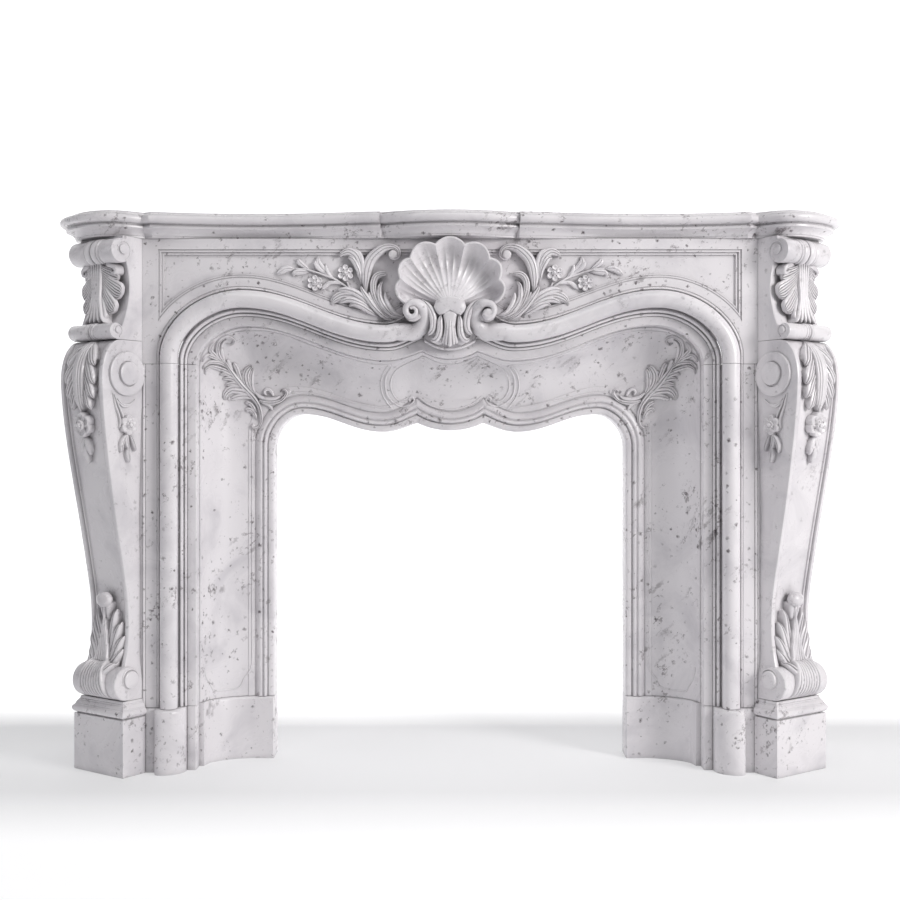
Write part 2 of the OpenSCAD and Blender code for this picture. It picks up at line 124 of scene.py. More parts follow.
def spline(points, n):
    # a smooth line through the given points, as n + 1 points evenly spread along it
    p = np.array(points, float)
    if len(p) == 2:
        fine = p[0] + (p[1] - p[0]) * np.linspace(0, 1, 60)[:, None]
    else:
        p = np.vstack([2 * p[0] - p[1], p, 2 * p[-1] - p[-2]])
        parts = []
        for i in range(1, len(p) - 2):
            t = np.linspace(0, 1, 24, endpoint=i == len(p) - 3)[:, None]
            a, b, c, d = p[i - 1:i + 3]
            parts.append(0.5 * (2 * b + (c - a) * t + (2 * a - 5 * b + 4 * c - d) * t ** 2
                                + (3 * b - a - 3 * c + d) * t ** 3))
        fine = np.vstack(parts)
    return evenly(fine, n)


def evenly(points, n):
    # a line's points set out again at equal steps
    step = np.r_[0, np.cumsum(np.linalg.norm(np.diff(points, axis=0), axis=1))]
    at = np.linspace(0, step[-1], n + 1)
    return np.stack([np.interp(at, step, points[:, k]) for k in range(points.shape[1])], 1)


def mix(a, b, t):
    return a + (b - a) * t


def smooth(x):
    x = np.clip(x, 0, 1)
    return x * x * (3 - 2 * x)


# an arch line is half width, spring, shoulder x, shoulder z, dip x, dip z, cusp x, cusp z, apron z
openingKey = np.array([halfOpen, openingSpring, halfOpen - opening["shoulderW"], openingH, opening["dipX"],
                       openingH - opening["dip"], opening["cuspX"], openingH - opening["cuspDrop"],
                       openingH - opening["apronDrop"]])
arrisKey = np.array([halfArris, jointZ, halfArris - arch["shoulderW"], arrisH, arch["dipX"],
                     arrisH - arch["dip"], arch["cuspX"], arrisH - arch["dip"] + arch["cuspRise"],
                     arrisH - arch["dip"] + arch["apronRise"]])
growKey = np.array([1, 0.22, 0.07, 1, 0, 1, 0, 1.3, 1])


def grown(d):
    # the arch line that lies d outside the arris
    return arrisKey + d * growKey


def archHalf(k, n):
    # from the spring to the middle: shoulder, long ogee, rise to the cusp, apron
    return np.vstack([
        bezier((k[0], k[1]), (k[0], mix(k[1], k[3], 0.52)), (mix(k[2], k[0], 0.52), k[3]), (k[2], k[3]), n),
        bezier((k[2], k[3]), (mix(k[2], k[4], 0.38), k[3]), (mix(k[4], k[2], 0.38), k[5]), (k[4], k[5]),
               round(n * 1.5), 1),
        bezier((k[4], k[5]), (mix(k[4], k[6], 0.4), k[5]), (mix(k[6], k[4], 0.3), mix(k[7], k[5], 0.35)),
               (k[6], k[7]), n // 2, 1),
        bezier((k[6], k[7]), (k[6] * 0.75, mix(k[7], k[8], 0.6)), (k[6] * 0.35, k[8]), (0, k[8]), n // 2, 1)])


def archLine(k, n, start):
    # the whole line, right to left, from the joint at height start
    half = np.vstack([[[k[0], start]], archHalf(k, n)])
    return np.vstack([half, half[-2::-1] * (-1, 1)])


def loft(rings):
    # a solid, as (points, faces) in millimetres, that joins rings of equal count and is closed at both ends
    rings = np.asarray(rings, float)
    n, m = rings.shape[:2]
    faces = []
    for i in range(n - 1):
        for j in range(m):
            k = (j + 1) % m
            faces.append((i * m + j, i * m + k, (i + 1) * m + k, (i + 1) * m + j))
    faces.append(tuple(range(m))[::-1])
    faces.append(tuple((n - 1) * m + j for j in range(m)))
    return rings.reshape(-1, 3), faces


def joined(*shapes):
    points, faces, base = [], [], 0
    for p, f in shapes:
        points.append(np.asarray(p, float))
        faces += [tuple(i + base for i in face) for face in f]
        base += len(p)
    return np.vstack(points), faces


def mirrored(shape):
    return shape[0] * (-1, 1, 1), [f[::-1] for f in shape[1]]


def both(shape):
    return joined(shape, mirrored(shape))


def moved(shape, change):
    return np.array([change(p) for p in shape[0]]), shape[1]


def flat(loops, lift):
    # a flat face with holes: the first loop is its edge, and lift turns 2D points to 3D
    points = np.vstack(loops)
    tris = tessellate_polygon([[Vector((x, z, 0)) for x, z in loop] for loop in loops])
    return lift(points), [tuple(t) for t in tris]


def linearOf(code):
    # an sRGB hex colour as the linear values that a socket takes
    rgb = [int(code[i:i + 2], 16) / 255 for i in (1, 3, 5)]
    return tuple([c / 12.92 if c <= 0.04045 else ((c + 0.055) / 1.055) ** 2.4 for c in rgb] + [1.0])


def addNode(tree, kind, settings=None, inputs=None, links=None):
    # one node with its settings, fixed inputs and links, which are (from node, socket) pairs
    node = tree.nodes.new(kind)
    for key, value in (settings or {}).items():
        setattr(node, key, value)
    for key, value in (inputs or {}).items():
        node.inputs[key].default_value = value
    for key, (source, socket) in (links or {}).items():
        tree.links.new(source.outputs[socket], node.inputs[key])
    return node


marble = {
    "ground": "#E7E4E7", "cloud": "#C6C3C8", "speck": "#575053", "vein": "#7C767A", "thread": "#6A6165",
    # real sizes of the patterns in millimetres
    "cloudMm": 120, "clusterMm": 95, "veinMm": 15, "threadMm": 85, "breakMm": 13,
    "bendMm": 50 / 11, "grainMm": 4,
    # the reach of the ambient occlusion that paints shade into the grooves
    "creviceShadeMm": 16,
    "slant": (0.0, 0.78, 0.3), "veinStretch": 0.15, "threadStretch": 0.5, "bend": 0.010,
    # noise levels between which each part fades in
    "cloudFade": (0.46, 0.74), "veinFade": (0.345, 0.43), "threadLine": (0.014, 0.003),
    "threadFade": (0.265, 0.34),
    # ambient occlusion levels over which the painted shade in the grooves lifts; the next line holds the
    # darkest share of that shade
    "creviceShadeFade": (0.2, 0.85),
    "cloudMost": 0.8, "veinMost": 0.55, "threadMost": 0.7, "creviceShadeLeast": 0.62,
    # for each kind of speck: cell in millimetres, radius in cells, strongest, level of the first speck
    "specks": ((15, 0.29, 0.95, 0.255), (8.5, 0.27, 0.6, 0.32)), "speckCore": 0.25, "speckFade": 0.14,
    "rough": 0.26, "grainBump": 0.04, "grainDepth": 0.0006, "ior": 1.49, "carvedFigure": 0.38,
}


def fade(tree, source, socket, levels, low=0.0, high=1.0):
    # low below the first level, high above the second
    return addNode(tree, "ShaderNodeMapRange", None,
                   {"From Min": levels[0], "From Max": levels[1], "To Min": low, "To Max": high},
                   {"Value": (source, socket)})


def times(tree, first, firstSocket, second, secondSocket):
    return addNode(tree, "ShaderNodeMath", {"operation": "MULTIPLY"}, None,
                   {0: (first, firstSocket), 1: (second, secondSocket)})


def noise(tree, place, socket, sizeMm, detail, rough=0.5, distortion=0.0):
    return addNode(tree, "ShaderNodeTexNoise", None, {"Scale": 1 / (sizeMm * mm), "Detail": detail,
                                                      "Roughness": rough, "Distortion": distortion},
                   {"Vector": (place, socket)})


def tinted(tree, colour, socket, tone, share, shareSocket):
    # a colour that turns to the tone by a share
    return addNode(tree, "ShaderNodeMix", {"data_type": "RGBA"}, {7: linearOf(tone)},
                   {0: (share, shareSocket), 6: (colour, socket)})


def makeMarble(name, figure):
    # polished Carrara marble: a pale lilac-grey ground with soft clouds, small grey-brown specks that gather
    # in clusters, short streaks that climb to the right and broken dark threads, under a satin gloss;
    # figure is the strength of all that is dark in it
    material = bpy.data.materials.new(name)
    material.use_nodes = True
    tree = material.node_tree
    tree.nodes.clear()
    place = addNode(tree, "ShaderNodeTexCoord")
    cloud = noise(tree, place, "Object", marble["cloudMm"], 5.0, 0.62, 0.6)
    cloudMask = fade(tree, cloud, "Fac", marble["cloudFade"], 0.0, marble["cloudMost"])
    colour = addNode(tree, "ShaderNodeMix", {"data_type": "RGBA"},
                     {6: linearOf(marble["ground"]), 7: linearOf(marble["cloud"])},
                     {0: (cloudMask, "Result")})
    # the slow noise that says where specks and streaks gather
    cluster = noise(tree, place, "Object", marble["clusterMm"], 3.0)
    # everything drawn fine is bent a little, so that no dot is round and no streak is straight
    wobble = noise(tree, place, "Object", marble["bendMm"], 3.0)
    bent = addNode(tree, "ShaderNodeMix", {"data_type": "RGBA", "blend_type": "ADD"}, {0: marble["bend"]},
                   {6: (place, "Object"), 7: (wobble, "Color")})
    slanted = addNode(tree, "ShaderNodeMapping", inputs={"Rotation": marble["slant"]},
                      links={"Vector": (bent, 2)})
    # streaks: a noise drawn out along the slant, kept only at its highest and where the slow noise allows
    drawnOut = addNode(tree, "ShaderNodeMapping", inputs={"Scale": (marble["veinStretch"], 1.0, 1.0)},
                       links={"Vector": (slanted, "Vector")})
    streak = noise(tree, drawnOut, "Vector", marble["veinMm"], 5.0, 0.58)
    shown = fade(tree, times(tree, streak, "Fac", cluster, "Fac"), "Value", marble["veinFade"], 0.0,
                 marble["veinMost"] * figure)
    colour = tinted(tree, colour, 2, marble["vein"], shown, "Result")
    # threads: the thin line where a slow slanted noise crosses its middle, broken up and kept in the clusters
    longer = addNode(tree, "ShaderNodeMapping", inputs={"Scale": (marble["threadStretch"], 1.0, 1.0)},
                     links={"Vector": (slanted, "Vector")})
    thread = noise(tree, longer, "Vector", marble["threadMm"], 7.0, 0.62)
    middle = addNode(tree, "ShaderNodeMath", {"operation": "SUBTRACT"}, {1: 0.5}, {0: (thread, "Fac")})
    offLine = addNode(tree, "ShaderNodeMath", {"operation": "ABSOLUTE"}, None, {0: (middle, "Value")})
    thin = fade(tree, offLine, "Value", marble["threadLine"])
    breaks = noise(tree, bent, 2, marble["breakMm"], 2.0)
    strong = fade(tree, times(tree, breaks, "Fac", cluster, "Fac"), "Value", marble["threadFade"], 0.0,
                  marble["threadMost"] * figure)
    colour = tinted(tree, colour, 2, marble["thread"], times(tree, thin, "Result", strong, "Result"), "Value")
    # specks: a small soft dot in some cells of a jittered grid, once sparse and large, once finer and fainter
    for cell, radius, most, level in marble["specks"]:
        cells = addNode(tree, "ShaderNodeTexVoronoi", inputs={"Scale": 1 / (cell * mm)},
                        links={"Vector": (bent, 2)})
        chosen = addNode(tree, "ShaderNodeSeparateColor", links={"Color": (cells, "Color")})
        small = addNode(tree, "ShaderNodeMath", {"operation": "MULTIPLY_ADD"}, {1: 1.1, 2: 0.75},
                        {0: (chosen, "Green")})
        dot = fade(tree, times(tree, cells, "Distance", small, "Value"), "Value",
                   (radius, radius * marble["speckCore"]))
        few = fade(tree, times(tree, chosen, "Red", cluster, "Fac"), "Value",
                   (level, level + marble["speckFade"]), 0.0, most * figure)
        colour = tinted(tree, colour, 2, marble["speck"], times(tree, dot, "Result", few, "Result"), "Value")
    # painted shade: an ambient occlusion node darkens the colour in the grooves of the carving, where shade
    # falls
    creviceOcclusion = addNode(tree, "ShaderNodeAmbientOcclusion", {"samples": 6}, {"Distance": marble["creviceShadeMm"] * mm})
    paintedCreviceShade = fade(tree, creviceOcclusion, "AO", marble["creviceShadeFade"], marble["creviceShadeLeast"])
    colour = addNode(tree, "ShaderNodeMix", {"data_type": "RGBA", "blend_type": "MULTIPLY"}, {0: 1.0},
                     {6: (colour, 2), 7: (paintedCreviceShade, "Result")})
    gloss = fade(tree, cloud, "Fac", (0.0, 1.0), marble["rough"] - 0.05, marble["rough"] + 0.08)
    grain = noise(tree, place, "Object", marble["grainMm"], 3.0)
    bump = addNode(tree, "ShaderNodeBump",
                   inputs={"Strength": marble["grainBump"], "Distance": marble["grainDepth"]},
                   links={"Height": (grain, "Fac")})
    shader = addNode(tree, "ShaderNodeBsdfPrincipled",
                     inputs={"IOR": marble["ior"], "Specular IOR Level": 0.5},
                     links={"Base Color": (colour, 2), "Roughness": (gloss, "Result"),
                            "Normal": (bump, "Normal")})
    addNode(tree, "ShaderNodeOutputMaterial", links={"Surface": (shader, "BSDF")})
    return material


stone = makeMarble("polishedCarraraMarble", 1.0)
carvedStone = makeMarble("carvedCarraraMarble", marble["carvedFigure"])  # the cleanest is kept for carving
print("marble made")


def finishPiece(name, shape, nodes, sharp=32, plain=None):
    # a shape becomes a named piece: metres, doubles merged, normals outward, creases kept sharp;
    # its first faces, as many as plain says, have the full marble and the rest the cleaner one
    count = len(shape[1])
    plain = count if plain is None else plain
    mesh = bpy.data.meshes.new(name)
    mesh.from_pydata((np.asarray(shape[0]) * mm).tolist(), [], shape[1])
    mesh.polygons.foreach_set("material_index", [int(0 < plain <= i) for i in range(count)])
    work = bmesh.new()
    work.from_mesh(mesh)
    bmesh.ops.remove_doubles(work, verts=work.verts, dist=2e-6)
    bmesh.ops.dissolve_degenerate(work, edges=work.edges, dist=1e-7)
    bmesh.ops.recalc_face_normals(work, faces=work.faces)
    work.to_mesh(mesh)
    work.free()
    mesh.polygons.foreach_set("use_smooth", [True] * len(mesh.polygons))
    mesh.set_sharp_from_angle(angle=math.radians(sharp))
    piece = bpy.data.objects.new(name, mesh)
    bpy.context.scene.collection.objects.link(piece)
    if plain:
        mesh.materials.append(stone)
    if plain < count:
        mesh.materials.append(carvedStone)
    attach(piece, "root")
    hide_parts(*nodes)
    return piece


nodeOf = {"Jamb": "jamb", "JambFoot": "jamb_foot", "InnerPanel": "inner_panel", "InnerFoot": "inner_foot",
          "Console": "console", "ConsoleCap": "console_cap", "ConsolePlinth": "console_plinth"}


def finishPair(name, shape, sharp=32, plain=None):
    # the right-hand piece as built and its mirror image on the left
    finishPiece("right" + name, shape, ["right_" + nodeOf[name]], sharp, plain)
    finishPiece("left" + name, mirrored(shape), ["left_" + nodeOf[name]], sharp, plain)


shelf = {
    "nose": 22, "overhang": 68, "bowX": 134, "bowTurn": 26, "breakIn": 47, "hornOut": 32, "returnIn": 14,
    # the mould from soffit to top, as height above the soffit and distance out from the top edge
    "mould": [(0, -11), (0.6, -9.6), (3.6, -9.4), (4.2, -9.2), (4.4, -7.6), (6, -7.2),
              (8.5, -5.6), (11, -2.8), (13.5, 1), (15.5, 4.6), (16.4, 6.2), (16.6, 8.4),
              (17.6, 9.4), (20.4, 9.8), (21.6, 9.4), (22, 8), (22.4, 6.6), (24, 6.2), (25.6, 7.2), (26, 12),
              (26.6, 15), (28, 18.2), (30.2, 20.6), (33, 21.8), (36, 21.9), (39, 20.6),
              (41.6, 18), (43.4, 14), (44.2, 9.6), (44.3, 5.2), (44.8, 3.6), (46.4, 3), (47.6, 2.2),
              (48, 0.8), (48.6, 0.2), (49.6, -0.4), (50, -1.2)],
}


def shelfPlan():
    # half of the top edge's line, from the middle to the wall, as x, y and the way the mould faces in degrees
    noseY = faceY - shelf["overhang"] + shelf["nose"]
    bow = shelf["bowX"]
    breakX = seatX - shelf["breakIn"]
    hornX = seatX + shelf["hornOut"]
    endX = shelfHigh[0] - shelf["nose"]
    returnX = endX - shelf["returnIn"]
    turn = np.radians(np.linspace(0, shelf["bowTurn"], 24))
    rise = bow / math.sin(math.radians(shelf["bowTurn"]))
    rows = [np.c_[rise * np.sin(turn), noseY + rise * (1 - np.cos(turn)), np.degrees(turn) * 0.6]]
    midX = mix(bow, breakX, 0.58)
    front = np.vstack([
        bezier((bow + 3.5, noseY + 22), (bow + 55, noseY + 22), (bow + 120, noseY + 48),
               (midX, noseY + 48), 26),
        bezier((midX, noseY + 48), (mix(bow, breakX, 0.74), noseY + 48), (mix(bow, breakX, 0.89), noseY + 36),
               (breakX, noseY + 26), 26, 1),
        bezier((breakX + 16, noseY + 36), (mix(breakX, hornX, 0.5), noseY + 20), (hornX - 24, noseY + 8),
               (hornX, noseY + 8), 12)])
    rows.append(np.c_[front, np.zeros(len(front))])
    horn = bezier((hornX, noseY + 8), (hornX + 36, noseY + 8), (endX, cornerY - 26), (endX, cornerY + 20),
                  40, 1)
    rows.append(np.c_[horn, 90 * np.linspace(1 / 40, 1, 40) ** 1.1])
    side = bezier((endX, cornerY + 20), (endX, cornerY + 56), (returnX, cornerY + 66),
                  (returnX, cornerY + 106), 20, 1)
    rows.append(np.c_[side, np.full(len(side), 90.0)])
    rows.append([[returnX, wallY, 90]])
    return np.vstack(rows)


def makeShelf():
    plan = shelfPlan()
    half = plan[::-1]
    whole = np.vstack([half, np.c_[-plan[1:, 0], plan[1:, 1], -plan[1:, 2]]])
    rings = []
    for x, y, a in whole:
        s, c = math.sin(math.radians(a)), math.cos(math.radians(a))
        wall = abs(y - wallY) < 0.01
        rings.append([(x + d * s, y if wall else y - d * c, friezeTop + h) for h, d in shelf["mould"]])
    rings = np.array(rings)
    n, m = rings.shape[:2]
    faces = [(i * m + j, i * m + j + 1, (i + 1) * m + j + 1, (i + 1) * m + j)
             for i in range(n - 1) for j in range(m - 1)]
    shape = [(rings.reshape(-1, 3), faces)]
    for j in (0, m - 1):
        level = rings[0, j, 2]
        shape.append(flat([rings[:, j, :2]], lambda p, z=level: np.c_[p, np.full(len(p), z)]))
    end = np.vstack([rings[0, :, ::2], rings[-1, ::-1, ::2]])
    shape.append(flat([end], lambda p: np.c_[p[:, 0], np.full(len(p), wallY), p[:, 1]]))
    finishPiece("shelf", joined(*shape), ["shelf"])


makeShelf()
print("shelf made")


def halfRound(centre, radius, y, rise, n=8):
    # points of a bead across the arch, as distance out from the arris and depth
    a = np.linspace(0, math.pi, n + 1)
    return [(centre - radius * math.cos(t), y - rise * math.sin(t)) for t in a]


# the arch's mouldings, shared by frieze and jambs, as distance out from the arris and depth
beadSection = (
    [(0, slabBack), (0, stripY + 1.4), (0.5, stripY + 0.4), (1.6, stripY), (16.2, stripY),
     (17.0, stripY + 0.4), (17.4, stripY + 1.6), (17.9, stripY + 1.6)]
    + halfRound(21.0, 2.9, stripY + 0.4, 4.6, 8)
    + [(24.3, stripY + 0.8)]
    + halfRound(28.4, 3.8, beadY + 1.0, 5.6, 8)
    + [(32.6, beadY + 1.6), (35.0, beadY + 1.8), (35.0, slabBack)])
rollHalf = 17.4
outerSection = [(66.5, slabBack), (66.5, faceY + 5), (67.8, faceY + 4.6), (68.6, faceY + 3.2),
                (69.2, faceY + 0.6), (70.0, faceY - 0.9), (71.2, faceY - 1.5), (72.4, faceY - 0.9),
                (73.0, faceY + 0.7), (73.8, faceY + 1.1), (74.5, faceY + 0.9), (75.2, faceY), (76.0, faceY),
                (76.0, slabBack)]


def archRings(section, steps, start):
    # the section set square across the whole arch line, from the joint at height start
    lines = [archLine(grown(d), steps, start) for d, y in section]
    return [[(lines[j][i][0], y, lines[j][i][1]) for j, (d, y) in enumerate(section)]
            for i in range(len(lines[0]))]


def rollRing(centre, across, half, crest, base, foot):
    # one ring of the roll: a round crest that turns in at its foot and runs straight back from there
    ring = []
    for a in np.radians(np.linspace(-20, 200, 19)):
        out = centre + across * half * -math.cos(a)
        ring.append((out[0], base - (base - crest) * (0.26 + 0.74 * max(math.sin(a), -0.35)), out[1]))
    for w in (0.9, -0.9):
        out = centre + across * half * w
        ring.append((out[0], foot, out[1]))
    return ring


volute = {
    # radius of the curl's middle line and half its width, at each quarter turn from its lowest point
    "x": 74.3, "z": 911.4, "lift": 27,
    "closed": ((37.7, 23, 15.4, 11.6, 10.6, 9), (17.4, 12, 7.4, 6.6, 5.0, 3.6), 4.6),
    "open": ((37.7, 23, 15.4, 11.6, 10.4, 8.2, 6.4, 4.0), (17.4, 12, 7.4, 6.4, 4.9, 3.8, 3.2, 2.6), 6.4),
}


def makeRoll(kind):
    # from the joint round the shoulder and down to the volute that curls in front of the shell's corner
    radii, halves, turns = volute[kind]
    mid = archHalf(grown(rollMid), 40)
    path = mid[mid[:, 0] > volute["x"] + 30]
    path = np.vstack([[[halfArris + rollMid, jointZ + arch["joint"]]], path])
    steps = np.linspace(0, turns, 90)
    angles = np.radians(-90 - 90 * steps)
    quarter = np.arange(len(radii))
    r = np.interp(steps, quarter, radii)
    spiral = np.c_[volute["x"] + r * np.cos(angles), volute["z"] + r * np.sin(angles)]
    line = np.vstack([path, spiral])
    fat = np.r_[np.full(len(path), rollHalf), np.interp(steps, quarter, halves)]
    lift = np.r_[np.zeros(len(path)), smooth((steps + 0.15) / 1.9) * volute["lift"]]
    rings = []
    for i, p in enumerate(line):
        along = line[min(i + 1, len(line) - 1)] - line[max(i - 1, 0)]
        along = along / np.linalg.norm(along)
        across = np.array([along[1], -along[0]])
        crest = faceY - arch["rollRise"] - lift[i]
        rings.append(rollRing(p, across, fat[i], crest, crest + 24 * (fat[i] / rollHalf) ** 0.75, faceY + 10))
    front = faceY - arch["rollRise"] - volute["lift"]
    parts = [loft(rings)]
    if kind == "closed":
        knob = [(11.2, 40), (11.2, 5), (10.6, 2.2), (9.0, 0.4), (6, -0.6), (0.05, -1.2)]
        parts.append(turned((74.6, front + 2, 905.6), knob, (0, 1, 0), (1, 0, 0), 40))
    core = [(19, 40), (19, 15), (0.05, 13)]
    parts.append(turned((volute["x"] - 2, front + 2, volute["z"]), core, (0, 1, 0), (1, 0, 0), 32))
    behind = [(38, slabBack - faceY - 0.8), (38, 7.4), (0.05, 7.2)]
    parts.append(turned((84, faceY, 902), behind, (0, 1, 0), (1, 0, 0), 40))
    return joined(*parts)


def cushion(outline, levels):
    # a shape rounded over from its outline to its middle: levels are (share of the outline, depth)
    p = np.array(outline, float)
    c = p.mean(0)
    return loft([[(c[0] + (x - c[0]) * share, y, c[1] + (z - c[1]) * share) for x, z in p]
                 for share, y in levels])


def panelLoop(d, sideX, topZ, n=150):
    # the sunk panel's edge: along the arch between its two tips, then up the sides and over
    line = archLine(grown(d), 60, jointZ)
    inside = np.abs(line[:, 0]) <= sideX
    first = np.argmax(inside)
    last = len(line) - 1 - np.argmax(inside[::-1])

    def edgePoint(i, k):
        t = (sideX - abs(line[i, 0])) / (abs(line[k, 0]) - abs(line[i, 0]))
        return line[i] + (line[k] - line[i]) * t

    core = np.vstack([[edgePoint(first, first - 1)], line[first:last + 1], [edgePoint(last, last + 1)]])
    lower = evenly(core, n)
    sides = np.linspace(0, 1, 12)[1:, None]
    left = lower[-1] + (np.array([-sideX, topZ]) - lower[-1]) * sides
    top = left[-1] + (np.array([sideX, topZ]) - left[-1]) * sides
    right = top[-1] + (lower[0] - top[-1]) * sides
    return np.vstack([lower, left, top, right[:-1]])


friezePanel = {
    "fromSide": 32, "fromTop": 21, "archStep": 2.3, "sideStep": 2.8, "topStep": 2.6,
    "depths": (0, 2.4, 1.2, 4.8, 4.0, arch["panelSink"]),  # the mould's steps, from the face to the field
}


def makeFriezeSlab():
    gap = arch["joint"]
    zLow = jointZ + gap
    line = archLine(grown(75.6), 40, zLow)
    edge = np.vstack([line, [[-halfFrieze + 0.3, zLow], [-halfFrieze + 0.3, friezeTop - gap],
                             [halfFrieze - 0.3, friezeTop - gap], [halfFrieze - 0.3, zLow]]])
    sideX, topZ = halfFrieze - friezePanel["fromSide"], friezeTop - friezePanel["fromTop"]
    d0 = rollOut + arch["bandW"]
    depth = friezePanel["depths"]
    loops = [(panelLoop(d0 + i * friezePanel["archStep"], sideX - i * friezePanel["sideStep"],
                        topZ - i * friezePanel["topStep"]), i) for i in range(len(depth))]
    shapes = [flat([edge, loops[0][0]], lambda p: np.c_[p[:, 0], np.full(len(p), faceY), p[:, 1]])]
    rows = []
    for (loop, i), deep in zip(loops, depth):
        rows.append(np.c_[loop[:, 0], np.full(len(loop), faceY + deep), loop[:, 1]])
        if i < len(depth) - 1:
            rows.append(np.c_[loop[:, 0], np.full(len(loop), faceY + depth[i + 1]), loop[:, 1]])
    rows = np.array(rows)
    n, m = rows.shape[:2]
    faces = [(i * m + j, i * m + (j + 1) % m, (i + 1) * m + (j + 1) % m, (i + 1) * m + j)
             for i in range(n - 1) for j in range(m)]
    shapes.append((rows.reshape(-1, 3), faces))
    shapes.append(flat([loops[-1][0]], lambda p: np.c_[p[:, 0], np.full(len(p), faceY + depth[-1]), p[:, 1]]))
    shapes.append(flat([edge], lambda p: np.c_[p[:, 0], np.full(len(p), slabBack), p[:, 1]]))
    k = len(edge)
    wall = np.vstack([np.c_[edge[:, 0], np.full(k, y), edge[:, 1]] for y in (faceY, slabBack)])
    shapes.append((wall, [(j, (j + 1) % k, k + (j + 1) % k, k + j) for j in range(k)]))
    return joined(*shapes)


def sweepLine(points, n):
    # a smooth line with its unit direction at each point
    line = spline(points, n)
    along = np.gradient(line, axis=0)
    return line, along / np.linalg.norm(along, axis=1)[:, None]


def blade(points, widths, rise=6.0, flutes=2, sink=4.0, up=(0, -1, 0), n=24, m=12, blunt=0.14, root=0.5,
          deep=0.32, curl=0.0):
    # one carved strand: points is its centre line, widths its width along it, rise how high its back stands.
    # The section is a rounded back parted by narrow cut lines, the tip is round and may curl up or down.
    line, along = sweepLine(points, n)
    t = np.linspace(0, 1, n + 1)
    half = np.interp(t, np.linspace(0, 1, len(widths)), widths) / 2
    half = half * np.sqrt(np.clip(1 - np.clip((t - 1 + blunt) / blunt, 0, 1) ** 2.2, 0.004, 1))
    half = half * (root + (1 - root) * smooth(t / 0.22))
    up = np.array(up, float)
    if flutes > 1:
        steps = (0, 0.1, 0.26, 0.5, 0.74, 0.9)  # closer at a flute's edges, where the surface bends most
        share = np.array([k + step for k in range(flutes) for step in steps] + [flutes])
        v = 2 * share / flutes - 1
        groove = 1 - deep * np.abs(np.cos(math.pi * share)) ** 14 * (np.abs(v) < 0.98)
    else:
        v = np.linspace(-1, 1, m + 1)
        groove = np.ones(m + 1)
    dome = (1 - np.abs(v) ** 2.4) ** (1 / 2.4)
    rings = []
    for i in range(n + 1):
        side = np.cross(along[i], up)
        side /= max(np.linalg.norm(side), 1e-6)
        normal = np.cross(side, along[i])
        fullness = min(1, half[i] / max(half.max(), 1e-6) * 1.3)
        tall = rise * (0.55 + 0.45 * fullness) + curl * smooth((t[i] - 0.62) / 0.38)
        top = line[i] + np.outer(v * half[i], side) + np.outer(dome * groove * tall, normal)
        under = [line[i] + side * half[i] * 0.96 - normal * sink,
                 line[i] - side * half[i] * 0.96 - normal * sink]
        rings.append(np.vstack([top, under]))
    return loft(rings)


def onFace(points, y):
    # points drawn as (x, z) or (x, z, out), set on an upright face at depth y
    return [(p[0], y - (p[2] if len(p) > 2 else 0), p[1]) for p in points]


def ball(centre, radii, n=14, m=20):
    rings = []
    angles = np.linspace(0, 2 * math.pi, m, endpoint=False)
    for a in np.linspace(-math.pi / 2 + 0.02, math.pi / 2 - 0.02, n):
        rings.append([(centre[0] + radii[0] * math.cos(a) * math.cos(t),
                       centre[1] + radii[1] * math.cos(a) * math.sin(t),
                       centre[2] + radii[2] * math.sin(a)) for t in angles])
    return loft(rings)


def turned(centre, profile, axis, side, n=32):
    # a turned form about an axis: profile is (radius, height along the axis)
    axis, side = np.array(axis, float), np.array(side, float)
    other = np.cross(axis, side)
    middle = np.array(centre)
    angles = np.linspace(0, 2 * math.pi, n, endpoint=False)
    return loft([[middle + axis * h + side * r * math.cos(t) + other * r * math.sin(t) for t in angles]
                 for r, h in profile])


def nodeGroup(name):
    # geometry nodes for repeated carving: one item set round a ring, or a bead along a line
    tree = bpy.data.node_groups.new(name, "GeometryNodeTree")
    tree.interface.new_socket("Geometry", in_out="INPUT", socket_type="NodeSocketGeometry")
    tree.interface.new_socket("Geometry", in_out="OUTPUT", socket_type="NodeSocketGeometry")
    return tree


def namedInput(tree, name, kind, value):
    socket = tree.interface.new_socket(name, in_out="INPUT", socket_type=kind)
    if value is not None:
        socket.default_value = value
    return socket


